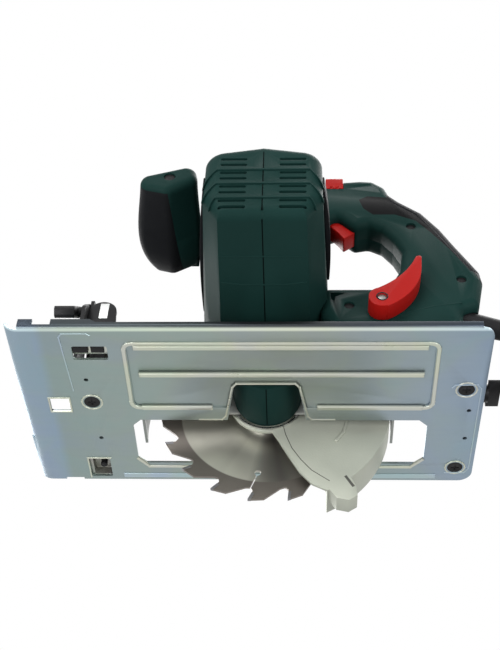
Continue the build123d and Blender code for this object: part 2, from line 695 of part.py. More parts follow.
with BuildPart() as armature:
    # shaft, laminated core with winding slots, coil ends and commutator
    with BuildSketch(at_y(bearing_seats[1][1])):
        with Locations((0, motor_z)):
            Circle(bearing_seats[1][4])
    extrude(amount=bearing_seats[1][1] - stator_y1)
    with BuildSketch(at_y(stator_y1)):
        with Locations((0, motor_z)):
            Circle(shaft_r)
    extrude(amount=stator_y1 - bearing_seats[0][0] + 2)
    with BuildSketch(at_y(stator_y1 - 2)):
        with Locations((0, motor_z)):
            Circle(armature_r)
            with PolarLocations(armature_r, 12):
                Rectangle(4, 1.6, mode=Mode.SUBTRACT)
    extrude(amount=stator_y1 - stator_y0 - 4)
    for y1 in (stator_y0 + 2, stator_y1 + 3):
        with BuildSketch(at_y(y1)):
            with Locations((0, motor_z)):
                Circle(armature_r - 1)
        extrude(amount=5)
    with BuildSketch(at_y(comm_y1)):
        with Locations((0, motor_z)):
            Circle(comm_r)
    extrude(amount=comm_y1 - comm_y0)
    with BuildSketch(at_y(comm_y1)):
        with Locations((0, motor_z)):
            with PolarLocations(comm_r, 16):
                Rectangle(1.6, 0.5)
    extrude(amount=comm_y1 - comm_y0 - 3, mode=Mode.SUBTRACT)
finish(armature, "armature")

with BuildPart() as fan:
    with BuildSketch(at_y(fan_y1)):
        with Locations((0, motor_z)):
            Circle(fan_r)
    extrude(amount=1.6)
    with BuildSketch(at_y(fan_y1)):
        with Locations((0, motor_z)):
            Circle(shaft_r + 3)
            with PolarLocations((fan_r + shaft_r + 2) / 2 - 0.5, 12):
                Rectangle(fan_r - shaft_r - 3, 1.4)
    extrude(amount=fan_y1 - fan_y0)
    with BuildSketch(at_y(fan_y1)):
        with Locations((0, motor_z)):
            Circle(bearing_seats[1][4] + 0.01)
    extrude(amount=fan_y1 - fan_y0, mode=Mode.SUBTRACT)
finish(fan, "fan")

brush_y, brush_w, brush_len = -53.0, 8.0, 13.0
with BuildPart() as brushes:
    for side in (-1, 1):
        with Locations((side * (comm_r + 0.1 + brush_len / 2), brush_y, motor_z)):
            Box(brush_len, brush_w, 6)
finish(brushes, "brushes")

holder_end = end_half - house_wall - part_gap
with BuildPart() as brush_holders:
    for side in (-1, 1):
        with Locations((side * (comm_r + 2.5 + holder_end) / 2, brush_y, motor_z)):
            Box(holder_end - comm_r - 2.5, brush_w + 3, 8)
            Box(holder_end - comm_r - 2.5, brush_w + 2 * run_gap, 6 + 2 * run_gap, mode=Mode.SUBTRACT)
finish(brush_holders, "brush_holders")

# ================================================================ gears and spindle
backlash = 0.16
addendum, dedendum = 0.75 * gear_module, 1.0 * gear_module


def gear_outline(count, cz, phase):
    """Toothed outline of a spur gear about (0, cz), with straight-flanked teeth."""
    r = count * gear_module / 2
    half = pi * gear_module / 4 - backlash
    pressure = tan(radians(20))
    points = []
    for i in range(count):
        mid = radians(phase) + 2 * pi * i / count
        for dr, sign in ((-dedendum, -1), (addendum, -1), (addendum, 1), (-dedendum, 1)):
            width = (half - dr * pressure) / r
            points.append(polar(0, cz, r + dr, degrees(mid + sign * width)))
    with BuildLine() as outline:
        Polyline(*points, close=True)
    return outline.edges()


with BuildPart() as pinion:
    with BuildSketch(at_y(gear_y1 + 1)):
        make_face(gear_outline(pinion_teeth, motor_z, 270 + 180 / pinion_teeth))
    extrude(amount=gear_y1 - gear_y0 + 2)
    with BuildSketch(at_y(gear_y0 - 1)):
        with Locations((0, motor_z)):
            Circle(pinion_shaft_r)
    extrude(amount=gear_y0 - 1 - bearing_seats[1][1])
finish(pinion, "pinion")

with BuildPart() as drive_gear:
    with BuildSketch(at_y(gear_y1)):
        make_face(gear_outline(gear_teeth, spindle_z, 90))
        with Locations((0, spindle_z)):
            Circle(spindle_r, mode=Mode.SUBTRACT)
    extrude(amount=gear_y1 - gear_y0)
finish(drive_gear, "drive_gear")

seat_y = blade_y - blade_t / 2
with BuildPart() as spindle:
    with BuildSketch(at_y(seat_y)):
        with Locations((0, spindle_z)):
            Circle(spindle_r)
    extrude(amount=seat_y - bearing_seats[2][1] - 1)
    with BuildSketch(at_y(bearing_seats[2][1] - 1 + 2)):
        with Locations((0, spindle_z)):
            Circle(bearing_seats[2][4])
    extrude(amount=bearing_seats[2][1] - bearing_seats[2][0] + 2)
    with BuildSketch(at_y(seat_y)):
        with Locations((0, spindle_z)):
            Circle(bolt_r)
    extrude(amount=bolt_len + 2, mode=Mode.SUBTRACT)
    with Locations((-spindle_r, lock_y, spindle_z)):
        Box(3, 2 * lock_pin_r + 0.6, 2 * lock_pin_r + 0.6, mode=Mode.SUBTRACT)
finish(spindle, "spindle")

with BuildPart() as inner_flange:
    with BuildSketch(at_y(seat_y)):
        with Locations((0, spindle_z)):
            Circle(flange_in_r)
            Circle(spindle_r, mode=Mode.SUBTRACT)
    extrude(amount=flange_in_t)
    with BuildSketch(at_y(seat_y + blade_t - 0.2)):
        with Locations((0, spindle_z)):
            Circle(arbor_r - 0.02)
            Circle(bolt_r + 0.2, mode=Mode.SUBTRACT)
    extrude(amount=blade_t - 0.2)
finish(inner_flange, "inner_flange")

with BuildPart() as outer_flange:
    with BuildSketch(at_y(seat_y + blade_t + flange_out_t)):
        with Locations((0, spindle_z)):
            Circle(flange_out_r)
            Circle(bolt_r + 0.2, mode=Mode.SUBTRACT)
    extrude(amount=flange_out_t)
    chamfer(edges().filter_by(GeomType.CIRCLE).group_by(Axis.Y)[-1].sort_by(SortBy.LENGTH)[-1], 1.2)
finish(outer_flange, "outer_flange")

with BuildPart() as blade_bolt:
    head_y = seat_y + blade_t + flange_out_t
    with BuildSketch(at_y(head_y)):
        with Locations((0, spindle_z)):
            Circle(bolt_r)
    extrude(amount=bolt_len)
    with BuildSketch(at_y(head_y + 1.5)):
        with Locations((0, spindle_z)):
            Circle(bolt_af * 0.72)
    extrude(amount=1.5)
    with BuildSketch(at_y(head_y + 1.5 + bolt_head_h)):
        with Locations((0, spindle_z)):
            RegularPolygon(bolt_af / 2, 6, major_radius=False)
    extrude(amount=bolt_head_h)
finish(blade_bolt, "blade_bolt")

# Blade: each tooth is given by its radius and its angle behind the tip
tooth_a0 = -79.3
pitch_a = 360 / teeth
tip_shape = [(80.0, 0.0), (79.7, 1.5), (74.2, 2.9), (74.0, 1.25)]
tip_seat = [tip_shape[2], tip_shape[1]]
tooth_back = [(78.5, 8.1), (70.0, 17.2), (tooth_gullet_r, pitch_a), (72.2, pitch_a + rake_offset),
              (74.0, pitch_a + 1.25)]
with BuildPart() as blade:
    with BuildSketch(at_y(blade_y + blade_t / 2)):
        with BuildLine():
            Polyline(*[polar(0, spindle_z, r * blade_r / 80, tooth_a0 + k * pitch_a + a)
                       for k in range(teeth) for r, a in tip_seat + tooth_back], close=True)
        make_face()
        with Locations((0, spindle_z)):
            Circle(arbor_r, mode=Mode.SUBTRACT)
        # expansion slots that end in round holes
        for k in range(4):
            a = tooth_a0 - 17.2 + 5 * k * pitch_a - (k // 2) * pitch_a
            hole = polar(0, spindle_z, 56.4 * blade_r / 80, a)
            with Locations(hole):
                Circle(2.3, mode=Mode.SUBTRACT)
            with Locations(Location(polar(0, spindle_z, 63.5 * blade_r / 80, a - 1.5), a - 15)):
                Rectangle(15, 1.0, mode=Mode.SUBTRACT)
    extrude(amount=blade_t)
finish(blade, "blade")

with BuildPart() as carbide_tips:
    with BuildSketch(at_y(blade_y + tip_t / 2)):
        for k in range(teeth):
            a0 = tooth_a0 + k * pitch_a
            with BuildLine():
                Polyline(*[polar(0, spindle_z, r * blade_r / 80, a0 + a) for r, a in tip_shape],
                         close=True)
            make_face()
    extrude(amount=tip_t)
finish(carbide_tips, "carbide_tips")

# Spindle lock: a sprung button in front of the gear neck
with BuildPart() as spindle_lock:
    with BuildSketch(Plane.YZ.offset(lock_head_x - 3)):
        with Locations((lock_y, spindle_z)):
            RectangleRounded(14, 11, 3)
    extrude(amount=3)
    with BuildSketch(Plane.YZ.offset(lock_head_x)):
        with Locations((lock_y, spindle_z)):
            Circle(lock_pin_r)
    extrude(amount=-spindle_r - lock_travel - lock_head_x)
finish(spindle_lock, "spindle_lock")

# ================================================================ guards
lead_edge = [(guard_r, -62.0), (guard_r - 9.5, -66.8), (guard_r - 21.5, -70.0), (guard_r - 38.5, -73.0),
             (guard_r - 53.5, -77.0), (guard_r - 65.5, -86.0)]
guard_tail_a, guard_lead_a = 132.0, -62.0
lug_shape = [(88, -61), (98, -60.5), (104, -57), (104, -53), (97, -50.5), (88.5, -49)]
with BuildPart() as lower_guard:
    # near wall, from the hub to the rim
    with BuildSketch(at_y(guard_y0 + guard_wall)):
        with BuildLine():
            rim_arc = CenterArc((0, spindle_z), guard_r, guard_lead_a, guard_tail_a - guard_lead_a)
            edge_points = [polar(0, spindle_z, r, a) for r, a in lead_edge]
            Polyline(rim_arc @ 1, polar(0, spindle_z, 26, 150), polar(0, spindle_z, 26, 210),
                     *reversed(edge_points))
        make_face()
        with Locations((0, spindle_z)):
            Circle(27.5)
            Circle(spigot_r + run_gap, mode=Mode.SUBTRACT)
    extrude(amount=guard_wall)
    # rim over the teeth
    with BuildSketch(at_y(guard_y1)):
        with BuildLine():
            outer = CenterArc((0, spindle_z), guard_r, guard_lead_a, guard_tail_a - guard_lead_a)
            inner = CenterArc((0, spindle_z), guard_r - guard_wall, guard_lead_a,
                              guard_tail_a - guard_lead_a)
            Line(outer @ 0, inner @ 0)
            Line(outer @ 1, inner @ 1)
        make_face()
    extrude(amount=guard_y1 - guard_y0)
    # far wall, a band that leaves the blade bolt free
    with BuildSketch(at_y(guard_y1)):
        with BuildLine():
            outer = CenterArc((0, spindle_z), guard_r - 0.5, guard_lead_a + 3,
                              guard_tail_a - guard_lead_a - 6)
            inner = CenterArc((0, spindle_z), guard_r - 29.5, guard_lead_a + 10,
                              guard_tail_a - guard_lead_a - 20)
            Line(outer @ 0, inner @ 0)
            Line(outer @ 1, inner @ 1)
        make_face()
    extrude(amount=guard_wall)
    # lifting lug at the leading corner
    with BuildSketch(at_y(guard_y0 + 14)):
        with BuildLine():
            Polyline(*[polar(0, spindle_z, r, a) for r, a in lug_shape], close=True)
        make_face()
    extrude(amount=14)
finish(lower_guard, "lower_guard")

# Return spring of the lower guard: one flat turn round the spigot with two straight legs
spring_wire, spring_r = 1.2, 25.0
spring_y = (upper_y0 + upper_wall + guard_y0) / 2
with BuildPart() as guard_spring:
    with BuildSketch(at_y(spring_y + spring_wire / 2)):
        with BuildLine():
            turn_out = CenterArc((0, spindle_z), spring_r + spring_wire / 2, 120, 300)
            turn_in = CenterArc((0, spindle_z), spring_r - spring_wire / 2, 120, 300)
            Line(turn_out @ 0, turn_in @ 0)
            Line(turn_out @ 1, turn_in @ 1)
        make_face()
        for a in (120, 60):
            with Locations(Location(polar(0, spindle_z, spring_r + 5, a), a)):
                Rectangle(12, spring_wire)
    extrude(amount=spring_wire)
finish(guard_spring, "guard_spring")

# Fixed upper guard, with the depth pivot lug in front, the boss of the depth clamp and the chute
boss_y0, boss_r = arc_y1 + part_gap, 9.0
lug_y0, lug_y1 = ear_gap[0] + part_gap, ear_gap[1] - part_gap
chute_r, socket_r, chute_bore, chute_y, chute_z = 16.6, 14.5, 12.5, 114.0, 94.0
socket_len = 25.0
chute_x0, chute_x1 = 40.0, 105.0
lug_root, lug_root_r, lug_r = (depth_x + 32, depth_z + 8), 10.0, 8.5
guard_head_r, guard_head_t = 4.0, 1.3
bolt_head_r, bolt_pocket = 5.4, 4.5
far_wall_z = 46.0
with BuildPart() as chamber:
    with BuildSketch(at_y(upper_y1 - upper_wall)):
        with Locations((0, spindle_z)):
            Circle(upper_r - upper_wall)
    extrude(amount=upper_y1 - upper_y0 - 2 * upper_wall)

with BuildPart() as chute:
    with BuildSketch(Plane.YZ.offset(chute_x0)):
        with Locations((chute_y, chute_z)):
            Circle(chute_r)
            Circle(chute_bore, mode=Mode.SUBTRACT)
    extrude(amount=chute_x1 - chute_x0)
    with BuildSketch(Plane.YZ.offset(chute_x1 - socket_len)):
        with Locations((chute_y, chute_z)):
            Circle(socket_r)
    extrude(amount=socket_len, mode=Mode.SUBTRACT)
    add(chamber.part, mode=Mode.SUBTRACT)

with BuildPart() as upper_guard:
    with BuildSketch(at_y(upper_y1)):
        with Locations((0, spindle_z)):
            Circle(upper_r)
        with Locations((0, upper_rim_z - upper_r)):
            Rectangle(4 * upper_r, 2 * upper_r, mode=Mode.SUBTRACT)
    extrude(amount=upper_y1 - upper_y0)
    add(chamber.part, mode=Mode.SUBTRACT)
    # opening in the far wall
    with BuildSketch(at_y(upper_y1 + 1)):
        with Locations((0, spindle_z)):
            Circle(upper_r - upper_wall)
        with Locations((0, far_wall_z + upper_r)):
            Rectangle(4 * upper_r, 2 * upper_r, mode=Mode.SUBTRACT)
    extrude(amount=upper_wall + 1, mode=Mode.SUBTRACT)
    # way through the rim for the dust, and its chute
    with BuildSketch(Plane.YZ.offset(chute_x0 - 2)):
        with Locations((chute_y, chute_z)):
            Circle(chute_bore)
    extrude(amount=chute_x1 - chute_x0, mode=Mode.SUBTRACT)
    add(chute.part)
    # lug for the depth pivot, and the block that joins it to the near wall
    with BuildSketch(at_y(lug_y1)):
        with Locations((depth_x, depth_z)):
            Circle(lug_r)
        with Locations(lug_root):
            Circle(lug_root_r)
        make_hull()
        with Locations((depth_x, depth_z)):
            Circle(depth_pin_r + run_gap, mode=Mode.SUBTRACT)
    extrude(amount=lug_y1 - lug_y0)
    with BuildSketch(at_y(upper_y0 + upper_wall / 2)):
        with Locations(lug_root):
            Circle(lug_root_r - 1)
    extrude(amount=upper_y0 - lug_y0 - 1)
    # boss for the depth clamp, and a small boss in front of the blade
    with BuildSketch(at_y(upper_y0 + upper_wall)):
        with Locations((lever_x, lever_z)):
            Circle(boss_r)
    extrude(amount=upper_y0 + upper_wall - boss_y0)
    with BuildSketch(at_y(upper_y0 + upper_wall / 2)):
        with Locations(polar(0, spindle_z, 55, 170)):
            Circle(5)
    extrude(amount=4)
    # holes for the spigot, the screws, the clamp bolt and its head
    with BuildSketch(at_y(upper_y1 - upper_wall - 1)):
        with Locations((0, spindle_z)):
            Circle(spigot_r + run_gap)
        with Locations(*guard_screw_at):
            Circle(screw_hole_r)
    extrude(amount=upper_y1 - upper_y0, mode=Mode.SUBTRACT)
    with BuildSketch(at_y(upper_y1 - upper_wall - 1)):
        with Locations((lever_x, lever_z)):
            Circle(clamp_bolt_r + run_gap)
    extrude(amount=upper_y1 - boss_y0, mode=Mode.SUBTRACT)
    with BuildSketch(at_y(upper_y1 - upper_wall - 1)):
        with Locations((lever_x, lever_z)):
            RegularPolygon(bolt_head_r + 2 * run_gap, 6)
    extrude(amount=upper_y1 - upper_wall - 1 - upper_y0 + bolt_pocket, mode=Mode.SUBTRACT)
finish(upper_guard, "upper_guard")

with BuildPart() as guard_screws:
    for x, z in guard_screw_at:
        with BuildSketch(at_y(upper_y0 + upper_wall + guard_head_t)):
            with Locations((x, z)):
                Circle(guard_head_r)
                Rectangle(5, 1, mode=Mode.SUBTRACT)
                Rectangle(1, 5, mode=Mode.SUBTRACT)
        extrude(amount=guard_head_t)
        with BuildSketch(at_y(upper_y0 + upper_wall)):
            with Locations((x, z)):
                Circle(screw_hole_r - run_gap)
        extrude(amount=upper_wall + 11)
finish(guard_screws, "guard_screws")

# ================================================================ rear handle
handle_outline = [(38, 30), (46, 12), (134, 12), (134, 31), (146, 36), (151, 60), (150, 70),
                  (136, 98), (127, 117), (115, 136), (99, 150), (92, 158), (89, 167), (80, 175),
                  (70, 176), (46, 173.5), (0, 168), (-36, 150), (-50, 128), (-50, 96), (46, 96),
                  (46, 140), (64, 120), (75, 122.5), (84, 117), (92, 105), (97, 92), (94, 72),
                  (86, 57), (76, 53), (38, 53)]
handle_corner = 5.0
pad_inner = [(97, 160), (88, 156), (91.5, 146.5), (108, 132), (119.5, 114.5), (128.5, 95.5),
             (143, 68), (156, 66), (156, 100), (120, 150)]
sleeve_plane = Plane(origin=(122, handle_y, 38), z_dir=(0.9455, 0, -0.3256))
shell_screws = [(57.3, 33.5), (105.0, 117.5), (135.8, 59.5), (0.0, 140.0), (-30.0, 125.0)]
shell_screw_r, shell_head_r, shell_boss_r, head_sink = 1.8, 3.6, 5.0, 4.0

# Trigger and lock-off button
trigger_plane = Plane(origin=(55, handle_y, 131.6), x_dir=(0.63, 0, -0.77), z_dir=(0, -1, 0))
trigger_half, trigger_w = 14.0, 14.0
trigger_in, trigger_out = 8.0, 10.0
button_x0, button_x1, button_z0, button_z1 = 43.6, 57.0, 163.0, 176.0
button_proud, button_rib = 0.5, 2.2
trigger_travel = 6.0

with BuildPart() as handle_solid:
    with BuildSketch(at_y(far_y)):
        with BuildLine():
            FilletPolyline(*handle_outline, radius=handle_corner, close=True)
        make_face()
    extrude(amount=far_y - near_y)
    fillet(faces().sort_by(Axis.Y)[0].edges() + faces().sort_by(Axis.Y)[-1].edges(), handle_round)

# Soft pad down the back of the grip
with BuildPart() as grip_pad:
    with BuildSketch(at_y(far_y)):
        with BuildLine():
            Polyline(*pad_inner, close=True)
        make_face()
    extrude(amount=far_y - near_y)
    add(handle_solid.part, mode=Mode.INTERSECT)
finish(grip_pad, "grip_pad")

# Both halves of the handle before they are parted: wall, bosses, sockets and openings
with BuildPart() as handle_whole:
    add(handle_solid.part)
    with BuildSketch(at_y(far_y - handle_wall)):
        with BuildLine():
            FilletPolyline(*handle_outline, radius=handle_corner, close=True)
        make_face()
        with BuildLine():
            Polyline(*pad_inner, close=True)
        make_face(mode=Mode.SUBTRACT)
        offset(amount=-handle_wall, kind=Kind.INTERSECTION)
    extrude(amount=far_y - near_y - 2 * handle_wall, mode=Mode.SUBTRACT)
    with BuildSketch(at_y(far_y - handle_wall)):
        with Locations(*shell_screws):
            Circle(shell_boss_r)
    extrude(amount=far_y - near_y - 2 * handle_wall)
    add(housing_outer, mode=Mode.SUBTRACT)
    add(grip_pad.part, mode=Mode.SUBTRACT)
    # way out for the cord sleeve, with a wider seat for its collar
    with BuildSketch(sleeve_plane):
        Circle(sleeve_r0 + run_gap)
    extrude(amount=sleeve_len, mode=Mode.SUBTRACT)
    # openings for the trigger and the lock-off button
    with BuildSketch(trigger_plane):
        Rectangle(2 * trigger_half + 2 * part_gap, 4 * trigger_in)
    extrude(amount=trigger_w / 2 + part_gap, both=True, mode=Mode.SUBTRACT)
    with BuildSketch(Plane.XY.offset(button_z0 - part_gap)):
        with Locations(((button_x0 + button_x1) / 2, handle_y)):
            Rectangle(button_x1 - button_x0 + 2 * part_gap, 2 * handle_half + 1)
    extrude(amount=button_z1 - button_z0, mode=Mode.SUBTRACT)
    # screw holes, and recesses for the heads in the near half
    with BuildSketch(at_y(far_y - handle_wall)):
        with Locations(*shell_screws):
            Circle(shell_screw_r)
    extrude(amount=far_y - handle_wall - near_y, mode=Mode.SUBTRACT)
    with BuildSketch(at_y(far_y)):
        with Locations((lever_x, lever_z)):
            Circle(clamp_bolt_r + run_gap)
    extrude(amount=far_y - near_y, mode=Mode.SUBTRACT)
    with BuildSketch(at_y(near_y + head_sink)):
        with Locations(*shell_screws):
            Circle(shell_head_r + run_gap)
    extrude(amount=head_sink + 1, mode=Mode.SUBTRACT)

with BuildPart() as handle_near:
    add(handle_whole.part)
    split(bisect_by=at_y(handle_y), keep=Keep.TOP)
finish(handle_near, "handle_near")

with BuildPart() as handle_far:
    add(handle_whole.part)
    # boss that steadies the depth clamp bolt
    with BuildSketch(at_y(arc_y0 - part_gap)):
        with Locations((lever_x, lever_z)):
            Circle(boss_r)
    extrude(amount=arc_y0 - part_gap - handle_y)
    with BuildSketch(at_y(arc_y0)):
        with Locations((lever_x, lever_z)):
            Circle(clamp_bolt_r + run_gap)
    extrude(amount=arc_y0 - near_y, mode=Mode.SUBTRACT)
    split(bisect_by=at_y(handle_y), keep=Keep.BOTTOM)
finish(handle_far, "handle_far")

with BuildPart() as handle_screws:
    for x, z in shell_screws:
        with BuildSketch(at_y(near_y + head_sink)):
            with Locations((x, z)):
                Circle(shell_head_r)
        extrude(amount=2.4)
        with BuildSketch(at_y(far_y - handle_wall - 3)):
            with Locations((x, z)):
                Circle(shell_screw_r - run_gap)
        extrude(amount=far_y - handle_wall - 3 - near_y - head_sink + 2)
finish(handle_screws, "handle_screws")

with BuildPart() as trigger:
    with BuildSketch(trigger_plane):
        with BuildLine():
            Polyline((-trigger_half, trigger_in), (trigger_half, trigger_in),
                     (trigger_half, -trigger_out))
            ThreePointArc((trigger_half, -trigger_out), (0, -trigger_out + 1.5),
                          (-trigger_half, -trigger_out))
            Line((-trigger_half, -trigger_out), (-trigger_half, trigger_in))
        make_face()
    extrude(amount=trigger_w / 2, both=True)
finish(trigger, "trigger")

with BuildPart() as lock_off_button:
    with BuildSketch(Plane.XY.offset(button_z0)):
        with Locations(((button_x0 + button_x1) / 2, handle_y)):
            Rectangle(button_x1 - button_x0, 2 * (handle_half + button_proud))
    extrude(amount=button_z1 - button_z0)
    fillet(faces().sort_by(Axis.Z)[-1].edges(), 2)
    # two grooves under each end, for the finger
    for side in (-1, 1):
        for x in (button_x0 + 2 * button_rib, button_x1 - 2 * button_rib):
            with Locations((x, handle_y + side * (handle_half + button_proud), button_z0)):
                Box(button_rib, button_rib, 2 * button_rib, mode=Mode.SUBTRACT)
finish(lock_off_button, "lock_off_button")

switch_gap = 0.8
with BuildPart() as switch_box:
    with BuildSketch(trigger_plane):
        with Locations((0, trigger_in + trigger_travel + switch_gap)):
            Rectangle(18, 14, align=(Align.CENTER, Align.MIN))
    extrude(amount=handle_half - handle_wall, both=True)
finish(switch_box, "switch_box")

# ================================================================ depth clamp
lever_y0, lever_y1 = near_y - part_gap - 13.5, near_y - part_gap
with BuildPart() as depth_bolt:
    with BuildSketch(at_y(upper_y0)):
        with Locations((lever_x, lever_z)):
            RegularPolygon(bolt_head_r, 6)
    extrude(amount=4)
    with BuildSketch(at_y(upper_y0 - 4)):
        with Locations((lever_x, lever_z)):
            Circle(clamp_bolt_r)
    extrude(amount=upper_y0 - 4 - lever_y0 - 1)
finish(depth_bolt, "depth_bolt")

with BuildPart() as depth_lever:
    with BuildSketch(at_y(lever_y1)):
        with BuildLine():
            ThreePointArc((82, 18.5), (98.5, 33), (107, 57))
            Polyline((107, 57), (108, 70), (104, 68))
            ThreePointArc((104, 68), (94.5, 51.5), (73, 34.5))
            Line((73, 34.5), (82, 18.5))
        make_face()
        fillet(vertices().sort_by(Axis.Y)[-2:], 1.8)
        with Locations((lever_x, lever_z)):
            Circle(boss_r)
            Circle(clamp_bolt_r + run_gap, mode=Mode.SUBTRACT)
    extrude(amount=lever_y1 - lever_y0)
finish(depth_lever, "depth_lever")

# ================================================================ front handle
aux_y0, aux_y1 = aux_sections[0][0], aux_sections[-1][0]
cap_y = aux_y0 + 4
with BuildPart() as aux_solid:
    for y, corners in aux_sections:
        with BuildSketch(at_y(y)):
            with BuildLine():
                Polyline(*corners, close=True)
            make_face()
            fillet(vertices(), aux_round)
    loft()
    fillet(faces().sort_by(Axis.Y)[0].edges(), aux_end_round)
    fillet(faces().sort_by(Axis.Y)[-1].edges(), aux_end_round)
    # clear of the rear handle's shells
    with Locations((handle_front, near_y - part_gap, 90)):
        Box(20, 30, 100, align=(Align.MIN, Align.MIN, Align.CENTER), mode=Mode.SUBTRACT)

with BuildPart() as aux_grip:
    add(aux_solid.part)
    with BuildSketch(Plane.XY.offset(50)):
        with BuildLine():
            Polyline((-100, cap_y), (grip_seam[0], cap_y), (grip_seam[1], aux_y1 + 1),
                     (-100, aux_y1 + 1), close=True)
        make_face()
    extrude(amount=100, mode=Mode.INTERSECT)
    with BuildSketch(at_y(aux_y1)):
        with Locations(aux_screw_at):
            Circle(screw_hole_r)
    extrude(amount=aux_y1 - aux_y0, mode=Mode.SUBTRACT)
finish(aux_grip, "aux_grip")

with BuildPart() as aux_core:
    add(aux_solid.part)
    # block that reaches back to the front of the rear handle
    with BuildSketch(at_y(handle_y)):
        with Locations((handle_front, 100)):
            Rectangle(16, 16, align=(Align.MAX, Align.CENTER))
    extrude(amount=handle_y - near_y)
    add(aux_grip.part, mode=Mode.SUBTRACT)
    # recess and bore for the end screw
    with BuildSketch(at_y(aux_y0 + 3)):
        with Locations(aux_screw_at):
            Circle(4)
    extrude(amount=3, mode=Mode.SUBTRACT)
    with BuildSketch(at_y(aux_y0 + 34)):
        with Locations(aux_screw_at):
            Circle(screw_hole_r)
    extrude(amount=34, mode=Mode.SUBTRACT)
finish(aux_core, "aux_core")

with BuildPart() as aux_screw:
    with BuildSketch(at_y(aux_y0 + 3)):
        with Locations(aux_screw_at):
            Circle(3.6)
    extrude(amount=2)
    with BuildSketch(at_y(aux_y0 + 32)):
        with Locations(aux_screw_at):
            Circle(screw_hole_r - run_gap)
    extrude(amount=29)
finish(aux_screw, "aux_screw")

# ================================================================ supply cord
cord_r = cord_d / 2
tie_t, tie_w = 0.8, 10.0
coil_z0 = floor_z + tie_t
coil_h = coil_turns_high * cord_d
coil_half = coil_turns_wide * cord_d / 2
coil_c = (250.0, 112.0)
lie_z = coil_z0 + cord_r
coil_join = (coil_c[0] + coil_mid_r + coil_half - cord_r, coil_c[1], lie_z)
sleeve_end = sleeve_plane.from_local_coords((0, 0, sleeve_len))

with BuildPart() as cord_sleeve:
    with Locations(sleeve_plane):
        Cone(sleeve_r0, sleeve_r1, sleeve_len, align=(Align.CENTER, Align.CENTER, Align.MIN))
        Cylinder(sleeve_r0 + 2, 4, align=(Align.CENTER, Align.CENTER, Align.MIN))
        with Locations((0, 0, sleeve_len - 24)):
            Cylinder(cord_r + run_gap, 25, align=(Align.CENTER, Align.CENTER, Align.MIN),
                     mode=Mode.SUBTRACT)
finish(cord_sleeve, "cord_sleeve")

cord_points = [tuple(sleeve_plane.from_local_coords((0, 0, sleeve_len - 20))),
               tuple(sleeve_plane.from_local_coords((0, 0, sleeve_len + 38))),
               (275.0, 34.0, lie_z), (coil_join[0], 72.0, lie_z), coil_join]


def arc_radii(points):
    """Radius at each inner point, from the shorter of its two runs and half its turn."""
    radii = []
    for a, b, c in zip(points, points[1:], points[2:]):
        u, v = Vector(*b) - Vector(*a), Vector(*c) - Vector(*b)
        radii.append(0.45 * min(u.length, v.length) / tan(radians(u.get_angle(v) / 2)))
    return radii


bends = arc_radii(cord_points)
print("cord bend radii:", [round(r, 1) for r in bends])
with BuildPart() as supply_cord:
    with BuildLine() as route:
        FilletPolyline(*cord_points, radius=bends)
    with BuildSketch(Plane(origin=route.line @ 0, z_dir=route.line % 0)):
        Circle(cord_r)
    sweep(path=route.line)
finish(supply_cord, "supply_cord")

with BuildPart() as cord_coil:
    with BuildSketch(Plane.XY.offset(coil_z0)):
        with Locations(coil_c):
            Circle(coil_mid_r + coil_half)
            Circle(coil_mid_r - coil_half, mode=Mode.SUBTRACT)
    extrude(amount=coil_h)
finish(cord_coil, "cord_coil")

with BuildPart() as cord_tie:
    with BuildSketch(Plane.YZ.offset(coil_c[0] - tie_w / 2)):
        with Locations((coil_c[1] + coil_mid_r, coil_z0 + coil_h / 2)):
            RectangleRounded(2 * coil_half + 2 * tie_t, coil_h + 2 * tie_t, 1.5)
    extrude(amount=tie_w)
    add(cord_coil.part, mode=Mode.SUBTRACT)
finish(cord_tie, "cord_tie")

# Flat two-pin plug, laid on the coil
plug_w, plug_len, plug_h = 26.0, 36.0, 13.0
plug_pin_r, plug_pin_len, plug_pitch = 2.4, 19.0, 19.0
plug_at = (coil_c[0] - coil_mid_r, coil_c[1], coil_z0 + coil_h + plug_h / 2)
with BuildPart() as cord_plug:
    with BuildSketch(at_y(plug_at[1] + plug_len / 2)):
        with Locations((plug_at[0], plug_at[2])):
            RectangleRounded(plug_w, plug_h, 4)
    with BuildSketch(at_y(plug_at[1] - plug_len / 2)):
        with Locations((plug_at[0], plug_at[2])):
            RectangleRounded(14, plug_h, 4)
    loft()
    for side in (-1, 1):
        with BuildSketch(at_y(plug_at[1] + plug_len / 2)):
            with Locations((plug_at[0] + side * plug_pitch / 2, plug_at[2])):
                Circle(plug_pin_r)
        extrude(amount=8, mode=Mode.SUBTRACT)
finish(cord_plug, "cord_plug")

with BuildPart() as plug_pins:
    for side in (-1, 1):
        with BuildSketch(at_y(plug_at[1] + plug_len / 2 + plug_pin_len)):
            with Locations((plug_at[0] + side * plug_pitch / 2, plug_at[2])):
                Circle(plug_pin_r)
        extrude(amount=plug_pin_len + 8)
    fillet(edges().filter_by(GeomType.CIRCLE).group_by(Axis.Y)[-1], 1.2)
finish(plug_pins, "plug_pins")
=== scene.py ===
"""Hand-held circular saw, seen from below its sole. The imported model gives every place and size."""

import json
from math import atan2, cos, radians, sin

import bmesh
import bpy
from mathutils import Matrix, Vector


